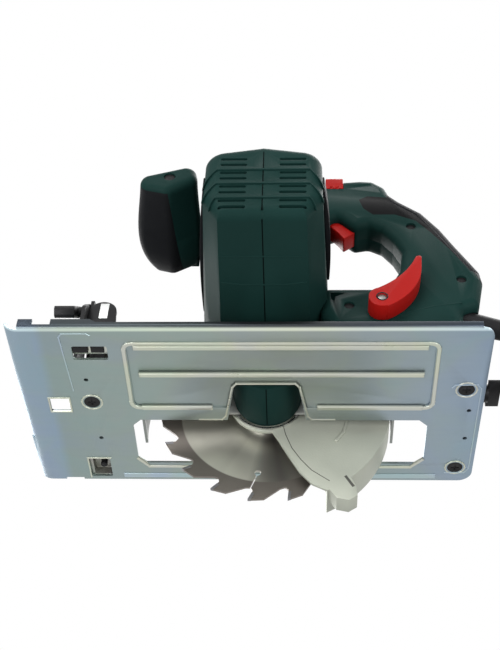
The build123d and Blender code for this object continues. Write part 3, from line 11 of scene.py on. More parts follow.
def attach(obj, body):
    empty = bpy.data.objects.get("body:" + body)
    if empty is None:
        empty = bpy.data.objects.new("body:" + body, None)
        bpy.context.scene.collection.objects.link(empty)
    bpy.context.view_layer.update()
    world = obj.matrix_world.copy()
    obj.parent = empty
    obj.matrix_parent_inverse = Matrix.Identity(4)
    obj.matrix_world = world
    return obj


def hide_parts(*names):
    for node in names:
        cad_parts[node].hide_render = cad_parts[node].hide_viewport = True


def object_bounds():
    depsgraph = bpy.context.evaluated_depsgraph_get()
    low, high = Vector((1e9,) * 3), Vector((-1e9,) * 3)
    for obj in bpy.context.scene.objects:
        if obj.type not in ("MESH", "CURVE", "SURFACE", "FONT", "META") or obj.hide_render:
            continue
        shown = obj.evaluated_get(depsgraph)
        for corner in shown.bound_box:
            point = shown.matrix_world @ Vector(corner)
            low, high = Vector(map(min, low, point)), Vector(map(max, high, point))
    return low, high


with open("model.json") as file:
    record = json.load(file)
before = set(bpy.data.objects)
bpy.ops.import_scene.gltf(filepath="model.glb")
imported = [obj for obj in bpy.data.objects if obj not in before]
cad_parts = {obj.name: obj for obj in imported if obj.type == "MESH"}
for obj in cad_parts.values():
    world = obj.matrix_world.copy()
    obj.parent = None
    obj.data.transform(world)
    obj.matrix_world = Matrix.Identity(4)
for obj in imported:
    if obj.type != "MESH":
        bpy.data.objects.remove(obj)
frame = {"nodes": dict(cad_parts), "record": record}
cad_low, cad_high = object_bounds()
nodes = frame["nodes"]
scene = bpy.context.scene

# ---------------------------------------------------------------- camera, lamps and floor
# The camera stands in front of the motor end and looks up from below the floor, so that it faces
# the sole's underside. Five large soft boxes light the saw on a pale painted floor.
camera_at = Vector((0.02297, -0.51228, -0.51894))
camera_rise, camera_turn, camera_roll = radians(45.535), radians(-3.604), radians(2.470)
look = Vector((sin(camera_turn) * cos(camera_rise), cos(camera_turn) * cos(camera_rise), sin(camera_rise)))
level_right = Vector((cos(camera_turn), -sin(camera_turn), 0.0))
level_up = level_right.cross(look)
right = level_right * cos(camera_roll) + level_up * sin(camera_roll)
up = level_up * cos(camera_roll) - level_right * sin(camera_roll)
camera_data = bpy.data.cameras.new("camera")
camera_data.lens, camera_data.sensor_width = 61.63, 36.0
camera_data.clip_start = 0.02
camera = bpy.data.objects.new("camera", camera_data)
camera.matrix_world = Matrix.Translation(camera_at) @ Matrix((right, up, -look)).transposed().to_4x4()
scene.collection.objects.link(camera)
scene.camera = camera
scene.view_settings.view_transform = "Standard"


def soft_lamp(name, at, aim, size, watts):
    """A square soft box at a point, turned to another point."""
    data = bpy.data.lights.new(name, "AREA")
    data.size, data.energy = size, watts
    lamp = bpy.data.objects.new(name, data)
    lamp.location = at
    lamp.rotation_euler = (Vector(aim) - Vector(at)).to_track_quat("-Z", "Y").to_euler()
    scene.collection.objects.link(lamp)


soft_lamp("lamp_below_left", (-0.75, -0.75, -0.75), (0.0, 0.03, 0.02), 0.7, 9.0)
soft_lamp("lamp_below_right", (0.80, -0.70, -0.55), (0.0, 0.03, 0.02), 0.6, 6.0)
soft_lamp("lamp_front_high", (-0.35, -1.0, 0.45), (0.0, 0.0, 0.06), 0.8, 8.0)
soft_lamp("lamp_above", (0.35, 0.25, 1.15), (0.0, 0.05, 0.05), 1.0, 16.0)
soft_lamp("lamp_behind", (-0.5, 1.0, 0.55), (0.0, 0.05, 0.05), 0.8, 9.0)

world = bpy.data.worlds.new("studio")
scene.world = world
world.use_nodes = True
air = world.node_tree
background = air.nodes["Background"]
rays = air.nodes.new("ShaderNodeLightPath")
direct = air.nodes.new("ShaderNodeMath")
direct.operation = "MAXIMUM"
air.links.new(rays.outputs["Is Camera Ray"], direct.inputs[0])
air.links.new(rays.outputs["Is Glossy Ray"], direct.inputs[1])
seen = air.nodes.new("ShaderNodeMath")
seen.operation = "MAXIMUM"
air.links.new(direct.outputs[0], seen.inputs[0])
air.links.new(rays.outputs["Is Transmission Ray"], seen.inputs[1])
level = air.nodes.new("ShaderNodeMapRange")
level.inputs["To Min"].default_value, level.inputs["To Max"].default_value = 0.42, 1.0
air.links.new(seen.outputs[0], level.inputs["Value"])
air.links.new(level.outputs["Result"], background.inputs["Strength"])
background.inputs["Color"].default_value = (1.0, 1.0, 1.0, 1.0)

# The floor is seen from above only, so that it hides nothing from the camera below it.
floor_z = cad_low[2]
bpy.ops.mesh.primitive_plane_add(size=8.0, location=(0.0, 0.0, floor_z))
floor = bpy.context.object
floor.name = "floor"
paint = bpy.data.materials.new("floor_paint")
paint.use_nodes = True
floor.data.materials.append(paint)
tree = paint.node_tree
tree.nodes["Principled BSDF"].inputs["Base Color"].default_value = (0.86, 0.86, 0.85, 1.0)
tree.nodes["Principled BSDF"].inputs["Roughness"].default_value = 0.9
path = tree.nodes.new("ShaderNodeLightPath")
side = tree.nodes.new("ShaderNodeNewGeometry")
front = tree.nodes.new("ShaderNodeMath")
front.operation = "SUBTRACT"
front.use_clamp = True
tree.links.new(path.outputs["Is Camera Ray"], front.inputs[0])
tree.links.new(side.outputs["Backfacing"], front.inputs[1])
clear = tree.nodes.new("ShaderNodeBsdfTransparent")
blend = tree.nodes.new("ShaderNodeMixShader")
tree.links.new(front.outputs[0], blend.inputs["Fac"])
tree.links.new(clear.outputs[0], blend.inputs[1])
tree.links.new(tree.nodes["Principled BSDF"].outputs[0], blend.inputs[2])
tree.links.new(blend.outputs[0], tree.nodes["Material Output"].inputs["Surface"])

# ---------------------------------------------------------------- supply cord
# Black rubber mains cord, about 3.7 m long. It leaves the handle through a tapered sleeve, falls to the
# floor and is put away in a coil of twelve turns with a strap round it.


def grained(name, color, rough, metallic=0.0, grain=900.0, depth=0.12, swing=0.06, shine=0.16):
    """A surface with a fine grain, a slight change of tone over its area and uneven gloss."""
    material = bpy.data.materials.new(name)
    material.use_nodes = True
    tree = material.node_tree
    shader = tree.nodes["Principled BSDF"]
    shader.inputs["Metallic"].default_value = metallic
    shader.inputs["Specular IOR Level"].default_value = shine
    where = tree.nodes.new("ShaderNodeTexCoord")
    tone = tree.nodes.new("ShaderNodeTexNoise")
    tone.inputs["Scale"].default_value, tone.inputs["Detail"].default_value = 18.0, 5.0
    tree.links.new(where.outputs["Object"], tone.inputs["Vector"])
    ramp = tree.nodes.new("ShaderNodeValToRGB")
    ramp.color_ramp.elements[0].position, ramp.color_ramp.elements[1].position = 0.3, 0.7
    ramp.color_ramp.elements[0].color = (*[c * (1 - swing * 2) for c in color], 1.0)
    ramp.color_ramp.elements[1].color = (*[min(1.0, c * (1 + swing)) for c in color], 1.0)
    tree.links.new(tone.outputs["Fac"], ramp.inputs["Fac"])
    tree.links.new(ramp.outputs["Color"], shader.inputs["Base Color"])
    fine = tree.nodes.new("ShaderNodeTexNoise")
    fine.inputs["Scale"].default_value, fine.inputs["Detail"].default_value = grain, 3.0
    tree.links.new(where.outputs["Object"], fine.inputs["Vector"])
    gloss = tree.nodes.new("ShaderNodeMapRange")
    gloss.inputs["To Min"].default_value, gloss.inputs["To Max"].default_value = rough - 0.06, rough + 0.06
    tree.links.new(fine.outputs["Fac"], gloss.inputs["Value"])
    tree.links.new(gloss.outputs["Result"], shader.inputs["Roughness"])
    bump = tree.nodes.new("ShaderNodeBump")
    bump.inputs["Strength"].default_value, bump.inputs["Distance"].default_value = depth, 0.0003
    tree.links.new(fine.outputs["Fac"], bump.inputs["Height"])
    tree.links.new(bump.outputs["Normal"], shader.inputs["Normal"])
    return material


def fill_ramp(node, stops):
    """Sets the stops of a colour ramp, each a place along it and a colour."""
    ramp = node.color_ramp
    while len(ramp.elements) < len(stops):
        ramp.elements.new(0.5)
    for element, (position, tone) in zip(ramp.elements, stops):
        element.position = position
        element.color = (*tone, 1.0)


def paint_node(name, material):
    """Gives a CAD node its finish."""
    node = nodes[name]
    node.data.materials.clear()
    node.data.materials.append(material)


cord_rubber = grained("cord_rubber", (0.012, 0.012, 0.013), 0.5, depth=0.2)
body_of_node = {n: b for b, names in frame["record"]["behaviour"]["bodies"].items() for n in names}


def finished_copy(name, material, edge=0.0006, rings=2, sharp=32.0):
    """A copy of a CAD node with its edges broken, which then stands for the node."""
    bpy.ops.object.select_all(action="DESELECT")
    piece = nodes[name].copy()
    piece.data = nodes[name].data.copy()
    piece.parent = None
    for key in list(piece.keys()):
        del piece[key]
    piece.name = name + "_finished"
    scene.collection.objects.link(piece)
    piece.select_set(True)
    bpy.context.view_layer.objects.active = piece
    bpy.ops.object.mode_set(mode="EDIT")
    bpy.ops.mesh.select_all(action="SELECT")
    bpy.ops.mesh.remove_doubles(threshold=2e-5)
    bpy.ops.mesh.dissolve_limited(angle_limit=radians(0.6))
    bpy.ops.object.mode_set(mode="OBJECT")
    if edge:
        bevel = piece.modifiers.new("broken_edges", "BEVEL")
        bevel.width, bevel.segments, bevel.limit_method = edge, rings, "ANGLE"
        bevel.angle_limit = radians(sharp)
        bevel.use_clamp_overlap = True
        bpy.ops.object.modifier_apply(modifier=bevel.name)
    bpy.ops.object.shade_smooth_by_angle(angle=radians(sharp + 6))
    piece.data.materials.clear()
    piece.data.materials.append(material)
    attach(piece, body_of_node[name])
    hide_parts(name)
    return piece


cord_d = 0.008
coil_at = (0.250, 0.112)
coil_layers = (-0.0572, -0.0492, -0.0412)
route = [(0.1740, 0.026, 0.0201), (0.2288, 0.026, 0.0012), (0.275, 0.034, -0.0572), (0.312, 0.072, -0.0572)]
# Each change of turn is (degrees wound when it starts, radius after it, height after it).
changes = [(0, 0.062, 0), (285, 0.054, 0), (645, 0.046, 0), (1005, 0.038, 0), (1335, 0.038, 1)]
changes += [(1665, 0.046, 1), (2025, 0.054, 1), (2385, 0.062, 1), (2715, 0.062, 2)]
changes += [(3045, 0.054, 2), (3405, 0.046, 2), (3765, 0.038, 2)]
change_over = 30.0
coil_step = 20.0
wound = coil_step / 2
while wound < 3795.0:
    radius, height = changes[0][1], coil_layers[0]
    for (start, new_radius, new_layer), before in zip(changes[1:], changes[:-1]):
        share = min(1.0, max(0.0, (wound - start) / change_over))
        radius += (new_radius - before[1]) * share
        height += (coil_layers[new_layer] - coil_layers[before[2]]) * share
    outward = radius / cos(radians(coil_step / 2))
    turned = radians(wound)
    route.append((coil_at[0] + outward * cos(turned), coil_at[1] + outward * sin(turned), height))
    wound += coil_step
route += [(0.2215, 0.0865, -0.0385), (0.2353, 0.0759, -0.0345), (0.2377, 0.0587, -0.0332)]
route += [(0.2268, 0.0452, -0.0332), (0.2094, 0.0440, -0.0332), (0.1967, 0.0558, -0.0332)]
route += [(0.1967, 0.0750, -0.0325), (0.2000, 0.0850, -0.0307), (0.2000, 0.0970, -0.0307)]
line = bpy.data.curves.new("supply_cord_line", "CURVE")
line.dimensions = "3D"
spline = line.splines.new("NURBS")
spline.points.add(len(route) - 1)
for point, at in zip(spline.points, route):
    point.co = (*at, 1.0)
spline.order_u = 3
spline.use_endpoint_u = True
line.resolution_u = 8
line.bevel_depth = cord_d / 2
line.bevel_resolution = 5
line.use_fill_caps = True
line.materials.append(cord_rubber)
cord = bpy.data.objects.new("supply_cord_run", line)
scene.collection.objects.link(cord)
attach(cord, "saw")
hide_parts("supply_cord", "cord_coil")
paint_node("supply_cord", cord_rubber)
paint_node("cord_coil", cord_rubber)

tie_fabric = grained("tie_fabric", (0.018, 0.018, 0.02), 0.85, grain=1800.0, depth=0.6)
paint_node("cord_tie", tie_fabric)
plug_rubber = grained("plug_rubber", (0.015, 0.015, 0.016), 0.45, depth=0.15)
pin_brass = grained("pin_brass", (0.70, 0.52, 0.24), 0.28, metallic=1.0, grain=400.0, depth=0.03)
paint_node("cord_plug", plug_rubber)
paint_node("plug_pins", pin_brass)
finished_copy("cord_sleeve", cord_rubber, edge=0.0003)

# ---------------------------------------------------------------- sole plate
# Pressed sheet steel, 2 mm thick, plated with zinc and passivated. The press leaves the folded lips,
# the stiffening beads and the cut windows.


def plated(name, color, rough=0.38, tint=0.5, grain=260.0):
    """Zinc plate with a passivate: clouds of yellow, green and violet over dull grey, and rub marks."""
    material = bpy.data.materials.new(name)
    material.use_nodes = True
    tree = material.node_tree
    shader = tree.nodes["Principled BSDF"]
    shader.inputs["Metallic"].default_value = 0.85
    where = tree.nodes.new("ShaderNodeTexCoord")
    cloud = tree.nodes.new("ShaderNodeTexNoise")
    cloud.inputs["Scale"].default_value, cloud.inputs["Detail"].default_value = 14.0, 3.0
    cloud.inputs["Distortion"].default_value = 1.2
    tree.links.new(where.outputs["Object"], cloud.inputs["Vector"])
    ramp = tree.nodes.new("ShaderNodeValToRGB")
    hues = ((0.30, (0.72, 0.80, 1.25)), (0.42, (1.0, 0.9, 1.12)), (0.52, (1.1, 1.08, 0.72)),
            (0.60, (0.85, 1.14, 0.80)), (0.72, (1.0, 1.0, 1.0)))
    fill_ramp(ramp, [(at, [c * (1 + tint * (h - 1)) for c, h in zip(color, hue)]) for at, hue in hues])
    tree.links.new(cloud.outputs["Fac"], ramp.inputs["Fac"])
    tree.links.new(ramp.outputs["Color"], shader.inputs["Base Color"])
    stretch = tree.nodes.new("ShaderNodeMapping")
    stretch.inputs["Scale"].default_value = (0.12, 1.0, 1.0)
    tree.links.new(where.outputs["Object"], stretch.inputs["Vector"])
    rub = tree.nodes.new("ShaderNodeTexNoise")
    rub.inputs["Scale"].default_value, rub.inputs["Detail"].default_value = grain, 6.0
    tree.links.new(stretch.outputs["Vector"], rub.inputs["Vector"])
    gloss = tree.nodes.new("ShaderNodeMapRange")
    gloss.inputs["To Min"].default_value, gloss.inputs["To Max"].default_value = rough - 0.1, rough + 0.12
    tree.links.new(rub.outputs["Fac"], gloss.inputs["Value"])
    tree.links.new(gloss.outputs["Result"], shader.inputs["Roughness"])
    bump = tree.nodes.new("ShaderNodeBump")
    bump.inputs["Strength"].default_value, bump.inputs["Distance"].default_value = 0.10, 0.0002
    tree.links.new(rub.outputs["Fac"], bump.inputs["Height"])
    tree.links.new(bump.outputs["Normal"], shader.inputs["Normal"])
    return material


def ridge(a, b, width, height, ground=0.0):
    """A pressed bead with round ends from a to b, standing down from the sole's underside."""
    bpy.ops.object.select_all(action="DESELECT")
    run = Vector((b[0] - a[0], b[1] - a[1]))
    long, wide, deep = run.length + width, width, height + 0.0008
    middle = ((a[0] + b[0]) / 2, (a[1] + b[1]) / 2, ground - height + deep / 2)
    bpy.ops.mesh.primitive_cube_add(size=1.0, location=middle, rotation=(0, 0, atan2(run.y, run.x)))
    bar = bpy.context.object
    bar.scale = (long, wide, deep)
    bpy.ops.object.transform_apply(location=False, rotation=False, scale=True)
    bpy.ops.object.mode_set(mode="EDIT")
    mesh = bmesh.from_edit_mesh(bar.data)
    for edge in mesh.edges:
        edge.select_set(abs(edge.verts[0].co.z - edge.verts[1].co.z) > deep / 2)
    bmesh.update_edit_mesh(bar.data)
    bpy.ops.mesh.bevel(offset=wide * 0.49, segments=5)
    mesh = bmesh.from_edit_mesh(bar.data)
    for edge in mesh.edges:
        edge.select_set(all(v.co.z < -deep * 0.45 for v in edge.verts))
    bmesh.update_edit_mesh(bar.data)
    bpy.ops.mesh.bevel(offset=min(height * 0.95, wide * 0.3), segments=4)
    bpy.ops.object.mode_set(mode="OBJECT")
    bpy.ops.object.transform_apply(location=True, rotation=True, scale=True)
    return bar


def ridges(name, paths, width, height, material, body, ground=0.0, upright=False):
    """Beads along several bent lines, joined into one piece. Upright ones lie on a face towards -Y."""
    if upright:
        paths = [[(x, -z) for x, z in path] for path in paths]
    lines = [(a, b) for path in paths for a, b in zip(path[:-1], path[1:])]
    bars = [ridge(a, b, width, height + 0.00003 * (k % 2), ground) for k, (a, b) in enumerate(lines)]
    bpy.ops.object.select_all(action="DESELECT")
    for bar in bars:
        bar.select_set(True)
    bpy.context.view_layer.objects.active = bars[0]
    bpy.ops.object.join()
    piece = bpy.context.object
    piece.name = name
    if upright:
        piece.rotation_euler = (radians(-90), 0.0, 0.0)
        bpy.ops.object.transform_apply(location=True, rotation=True, scale=True)
    bpy.ops.object.shade_smooth_by_angle(angle=radians(40))
    piece.data.materials.append(material)
    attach(piece, body)
    return piece


def bent(center, radius, start, stop, steps=4):
    """Points of a corner, in degrees round its centre."""
    turns = [radians(start + (stop - start) * k / steps) for k in range(steps + 1)]
    return [(center[0] + radius * cos(t), center[1] + radius * sin(t)) for t in turns]


sole_zinc = plated("sole_zinc", (0.298, 0.340, 0.345), tint=0.12)
# The passivate is bluer at the front end and creamier behind it. Along the guide edge the lip is
# darkened with painted shade, and the fold beside it carries a painted highlight.
tree = sole_zinc.node_tree
shader = tree.nodes["Principled BSDF"]
clouds = shader.inputs["Base Color"].links[0].from_socket
place = tree.nodes.new("ShaderNodeTexCoord")
axes = tree.nodes.new("ShaderNodeSeparateXYZ")
tree.links.new(place.outputs["Object"], axes.inputs["Vector"])
along = tree.nodes.new("ShaderNodeMapRange")
along.inputs["From Min"].default_value, along.inputs["From Max"].default_value = -0.164, 0.151
tree.links.new(axes.outputs["X"], along.inputs["Value"])
cast = tree.nodes.new("ShaderNodeValToRGB")
casts = ((0.0, (0.86, 0.99, 1.20)), (0.032, (0.84, 0.98, 1.18)), (0.052, (0.84, 0.93, 0.93)),
         (0.30, (0.96, 1.0, 0.96)), (0.62, (1.0, 1.0, 0.92)), (0.86, (0.92, 0.99, 1.08)),
         (1.0, (0.86, 0.98, 1.20)))
strongest_cast = 1.22
fill_ramp(cast, [(at, [c / strongest_cast for c in hue]) for at, hue in casts])
tree.links.new(along.outputs["Result"], cast.inputs["Fac"])
across = tree.nodes.new("ShaderNodeMapRange")
across.inputs["From Min"].default_value, across.inputs["From Max"].default_value = -0.0025, 0.0075
tree.links.new(axes.outputs["Y"], across.inputs["Value"])
# Across the guide edge: painted shade on the lip, then a cream painted highlight on the fold, then the
# plate's own level.
lip_shade_and_highlight = tree.nodes.new("ShaderNodeValToRGB")
fill_ramp(lip_shade_and_highlight, ((0.06, (0.07, 0.07, 0.08)), (0.19, (1.0, 0.94, 0.84)), (0.34, (1.0, 0.94, 0.84)),
                      (0.48, (0.46, 0.46, 0.46))))
tree.links.new(across.outputs["Result"], lip_shade_and_highlight.inputs["Fac"])
toned = tree.nodes.new("ShaderNodeVectorMath")
toned.operation = "MULTIPLY"
tree.links.new(cast.outputs["Color"], toned.inputs[0])
tree.links.new(lip_shade_and_highlight.outputs["Color"], toned.inputs[1])
rescaled_tones = tree.nodes.new("ShaderNodeVectorMath")
rescaled_tones.operation = "SCALE"
rescaled_tones.inputs["Scale"].default_value = 2.6
tree.links.new(toned.outputs["Vector"], rescaled_tones.inputs[0])
layered = tree.nodes.new("ShaderNodeVectorMath")
layered.operation = "MULTIPLY"
tree.links.new(clouds, layered.inputs[0])
tree.links.new(rescaled_tones.outputs["Vector"], layered.inputs[1])
tree.links.new(layered.outputs["Vector"], shader.inputs["Base Color"])
# Paler cream zinc. On the beads, lips and rims below it is a painted highlight along their crests; the fence
# guide wears it too.
pale_zinc_and_highlight = plated("pale_zinc_and_highlight", (0.50, 0.52, 0.45), rough=0.3, tint=0.15)
# A bluish pale zinc, painted as the highlight along the far bead and the thin pad lines.
blue_highlight_zinc = plated("blue_highlight_zinc", (0.36, 0.45, 0.50), rough=0.32, tint=0.2)
finished_copy("base_plate", sole_zinc, edge=0.0007)
# Border of the raised panel: open along the blade side, where the notch for the gear case is.
border = [(-0.040, 0.0778), *bent((-0.0890, 0.0718), 0.006, 90, 180)]
border += [*bent((-0.0890, 0.0195), 0.006, 180, 270)]
border += [*bent((0.1100, 0.0195), 0.006, 270, 360), *bent((0.1100, 0.0718), 0.006, 0, 90), (0.0375, 0.0778)]
ridges("sole_panel_border", [border], 0.0030, 0.0007, pale_zinc_and_highlight, "base")
ridges("sole_long_beads", [[(-0.0865, 0.0172), (0.1070, 0.0172)], [(-0.0850, 0.0437), (0.1060, 0.0437)],
                           [(-0.0860, 0.0775), (-0.0400, 0.0775)], [(0.0375, 0.0775), (0.1070, 0.0775)]],
       0.0042, 0.0012, pale_zinc_and_highlight, "base")
ridges("sole_far_bead", [[(-0.1070, 0.1543), (0.1220, 0.1543)]], 0.0048, 0.0009, blue_highlight_zinc, "base")
slot_lip = [(-0.0962, 0.1348), (-0.0888, 0.1437), (0.1048, 0.1437), (0.1134, 0.1348)]
ridges("slot_far_lip", [slot_lip], 0.0026, 0.0009, pale_zinc_and_highlight, "base")
notch_rim = [(-0.0480, 0.0903), (-0.0320, 0.0903), (-0.0292, 0.0870), (-0.0235, 0.0570), (-0.0205, 0.0530)]
notch_rim += [(-x, y) for x, y in reversed(notch_rim)]
pad_lines = [[(-0.1345, 0.0600), (-0.1372, 0.0070), (-0.1350, 0.0040), (-0.1185, 0.0040), (-0.1165, 0.0055)],
             [(0.1280, 0.0565), (0.1300, 0.0540), (0.1450, 0.0535), (0.1480, 0.0570), (0.1480, 0.1450),
              (0.1450, 0.1500), (0.1310, 0.1500)]]
ridges("sole_pad_lines", pad_lines, 0.0011, 0.0004, blue_highlight_zinc, "base")
ridges("notch_rim", [notch_rim], 0.0014, 0.0004, pale_zinc_and_highlight, "base")
dimples = [(-0.1230, 0.0720), (0.1380, 0.0590), (0.1380, 0.1440)]
ridges("sole_dimple_rims", [bent(at, 0.0072, 0, 360, 16) for at in dimples], 0.0012, 0.0003,
       pale_zinc_and_highlight, "base")

window_rim = [(-0.1535, 0.0677), (-0.1386, 0.0677), (-0.1386, 0.0822), (-0.1535, 0.0822), (-0.1535, 0.0677)]
far_rim = [(-0.1345, 0.1570), (-0.1345, 0.1344), (-0.1175, 0.1344)]
ridges("window_rims", [window_rim, far_rim], 0.0013, 0.0004, pale_zinc_and_highlight, "base")

# ---------------------------------------------------------------- brackets and screws of the sole
# Brackets bent from plated sheet steel, held to the sole by countersunk screws; the clamps are
# black-coated steel levers.
bracket_zinc = plated("bracket_zinc", (0.30, 0.30, 0.29), rough=0.34, tint=0.25)
screw_steel = plated("screw_steel", (0.32, 0.32, 0.31), rough=0.3, tint=0.3, grain=500.0)
black_steel = grained("black_steel", (0.014, 0.014, 0.015), 0.42, metallic=0.3, depth=0.1)
for name in ("fence_block", "depth_arc"):
    finished_copy(name, bracket_zinc, edge=0.0004)
finished_copy("fence_guide", pale_zinc_and_highlight, edge=0.0004)
for name in ("bevel_nut", "bevel_pins", "depth_pin", "depth_bolt"):
    finished_copy(name, screw_steel, edge=0.0002)
# Black patches on the tongues at both ends of the front window.
tongue_bottom = 0.0008
ridges("window_black_ends", [[(-0.1268, 0.0199), (-0.1220, 0.0199)], [(-0.1145, 0.0197), (-0.1110, 0.0197)]],
       0.0056, 0.0004, black_steel, "base", ground=tongue_bottom)
for name in ("front_bracket", "front_trunnion", "rear_bracket", "bevel_lever", "rear_wing_knob"):
    finished_copy(name, black_steel, edge=0.0004)
for name in ("plate_screws", "fence_knob"):
    finished_copy(name, black_steel, edge=0.0002)
scale_aluminium = plated("scale_aluminium", (0.62, 0.63, 0.63), rough=0.35, tint=0.05)
finished_copy("bevel_scale", scale_aluminium, edge=0.0001)
trunnion_face = 0.0409
ridges("bevel_label", [[(-0.1182, 0.0560), (-0.1182, 0.0650)]], 0.0064, 0.0003, scale_aluminium,
       body_of_node["front_trunnion"], ground=trunnion_face, upright=True)

# ---------------------------------------------------------------- motor housing
# Two glass-filled nylon half shells, injection moulded in dark green and screwed together along the
# middle, where a fine dark seam shows. Strips of soft black rubber are moulded onto both sides.
housing_green = grained("housing_green", (0.0080, 0.0300, 0.0265), 0.50, grain=1500.0, depth=0.2, shine=0.05)
soft_grip = grained("soft_grip", (0.0075, 0.0080, 0.0095), 0.60, grain=2200.0, depth=0.3, shine=0.1)
black_plastic = grained("black_plastic", (0.009, 0.009, 0.009), 0.45, grain=1500.0, depth=0.2)
red_plastic = grained("red_plastic", (0.36, 0.008, 0.006), 0.36, grain=900.0, depth=0.08, swing=0.03,
                      shine=0.15)
for name in ("housing_front", "housing_rear"):
    finished_copy(name, housing_green, edge=0.0005)
for name in ("side_trim_front", "side_trim_rear"):
    finished_copy(name, soft_grip, edge=0.0008)
seam_black = grained("seam_black", (0.0012, 0.0022, 0.0020), 0.7, shine=0.02)
seam_w, seam_h = 0.0007, 0.00012
housing_bottom, housing_end, neck_bottom = 0.022, -0.080, 0.001
ridges("housing_seam_below", [[(0.0, -0.0740), (0.0, 0.0360)]], seam_w, seam_h, seam_black, "saw",
       ground=housing_bottom)
ridges("housing_seam_end", [[(0.0, 0.0255), (0.0, 0.0855)]], seam_w, seam_h, seam_black, "saw",
       ground=housing_end, upright=True)
ridges("neck_seam", [[(0.0, 0.0600), (0.0, 0.0965)]], seam_w, seam_h, seam_black, "saw", ground=neck_bottom)
ridges("housing_step", [[(-0.0270, -0.0440), (0.0270, -0.0440)],
                        [(-0.0275, -0.0215), (-0.0150, -0.0195), (0.0150, -0.0195), (0.0275, -0.0215)]],
       0.0013, 0.0004, housing_green, "saw", ground=housing_bottom)

# ---------------------------------------------------------------- blade and its drive
# A thin steel plate, cut by laser and ground flat, with carbide tips brazed to its teeth. The blade
# bolt clamps it between two turned steel flanges on the spindle.
blade_steel = grained("blade_steel", (0.20, 0.18, 0.16), 0.36, metallic=0.8, grain=300.0, depth=0.05)
# Inside the matte tooth ring the plate is polished; the light it reflects is painted into its colour as
# bright and dark sectors.
tree = blade_steel.node_tree
shader = tree.nodes["Principled BSDF"]
matte = shader.inputs["Base Color"].links[0].from_socket
place = tree.nodes.new("ShaderNodeTexCoord")
centred = tree.nodes.new("ShaderNodeVectorMath")
centred.operation = "SUBTRACT"
centred.inputs[1].default_value = (0.0, 0.0, 0.025)
tree.links.new(place.outputs["Object"], centred.inputs[0])
flat = tree.nodes.new("ShaderNodeVectorMath")
flat.operation = "MULTIPLY"
flat.inputs[1].default_value = (1.0, 0.0, 1.0)
tree.links.new(centred.outputs["Vector"], flat.inputs[0])
spoke = tree.nodes.new("ShaderNodeVectorMath")
spoke.operation = "NORMALIZE"
tree.links.new(flat.outputs["Vector"], spoke.inputs[0])
# Painted reflection: bright and dark sectors by direction from the centre.
sectors = tree.nodes.new("ShaderNodeTexNoise")
sectors.inputs["Scale"].default_value, sectors.inputs["Detail"].default_value = 1.25, 1.5
tree.links.new(spoke.outputs["Vector"], sectors.inputs["Vector"])
sector_reflection = tree.nodes.new("ShaderNodeValToRGB")
sector_reflection.color_ramp.elements[0].position, sector_reflection.color_ramp.elements[1].position = 0.40, 0.60
sector_reflection.color_ramp.elements[0].color = (0.13, 0.12, 0.11, 1.0)
sector_reflection.color_ramp.elements[1].color = (0.60, 0.59, 0.51, 1.0)
tree.links.new(sectors.outputs["Fac"], sector_reflection.inputs["Fac"])
reach = tree.nodes.new("ShaderNodeVectorMath")
reach.operation = "LENGTH"
tree.links.new(flat.outputs["Vector"], reach.inputs[0])
ring = tree.nodes.new("ShaderNodeMapRange")
ring.inputs["From Min"].default_value, ring.inputs["From Max"].default_value = 0.0635, 0.0645
tree.links.new(reach.outputs["Value"], ring.inputs["Value"])
faces = tree.nodes.new("ShaderNodeMix")
faces.data_type = "RGBA"
tree.links.new(ring.outputs["Result"], faces.inputs["Factor"])
tree.links.new(sector_reflection.outputs["Color"], faces.inputs["A"])
tree.links.new(matte, faces.inputs["B"])
tree.links.new(faces.outputs["Result"], shader.inputs["Base Color"])
carbide = grained("carbide", (0.22, 0.22, 0.23), 0.3, metallic=0.7, grain=500.0, depth=0.05)
ground_steel = grained("ground_steel", (0.42, 0.42, 0.42), 0.28, metallic=1.0, grain=400.0, depth=0.04)
finished_copy("blade", blade_steel, edge=0.0)
finished_copy("carbide_tips", carbide, edge=0.0)
for name in ("blade_bolt", "inner_flange", "outer_flange", "spindle"):
    finished_copy(name, ground_steel, edge=0.0003)

# ---------------------------------------------------------------- guards
# Die-cast aluminium: the fixed upper guard is bolted to the housing, and the lower guard turns
# round the bearing seat under a spring.
guard_aluminium = grained("guard_aluminium", (0.46, 0.48, 0.41), 0.48, metallic=0.35, grain=700.0, depth=0.3)
upper_aluminium = grained("upper_aluminium", (0.40, 0.41, 0.39), 0.5, metallic=0.35, grain=700.0, depth=0.3)
finished_copy("upper_guard", upper_aluminium, edge=0.0006)
finished_copy("lower_guard", guard_aluminium, edge=0.0005)
guard_body, guard_face = body_of_node["lower_guard"], 0.101
guard_shade = grained("guard_shade", (0.10, 0.10, 0.09), 0.6, metallic=0.2)
lead_step = [(0.0112, 0.0045), (0.0132, -0.0047), (0.0177, -0.0170), (0.0240, -0.0274), (0.0314, -0.0368),
             (0.0436, -0.0460)]
ridges("guard_lead_step", [lead_step], 0.0006, 0.0001, guard_shade, guard_body,
       ground=guard_face, upright=True)
ridges("guard_lug_groove", [[(0.0552, -0.0425), (0.0596, -0.0500)]], 0.0020, 0.0001, guard_shade, guard_body,
       ground=guard_face, upright=True)
ridges("guard_rib", [[(0.0575, 0.0072), (0.0546, -0.0029), (0.0494, -0.0103)]], 0.0022, 0.0011,
       guard_aluminium, guard_body, ground=guard_face, upright=True)
finished_copy("guard_screws", screw_steel, edge=0.0002)
paint_node("guard_spring", ground_steel)

# ---------------------------------------------------------------- rear handle
# Two half shells in the housing's nylon, screwed together from the near side, with a soft pad
# overmoulded along the back of the grip. Trigger, lock-off button and clamp lever are red nylon.
handle_skin = grained("handle_skin", (0.0080, 0.0300, 0.0265), 0.50, grain=1500.0, depth=0.2, shine=0.05)
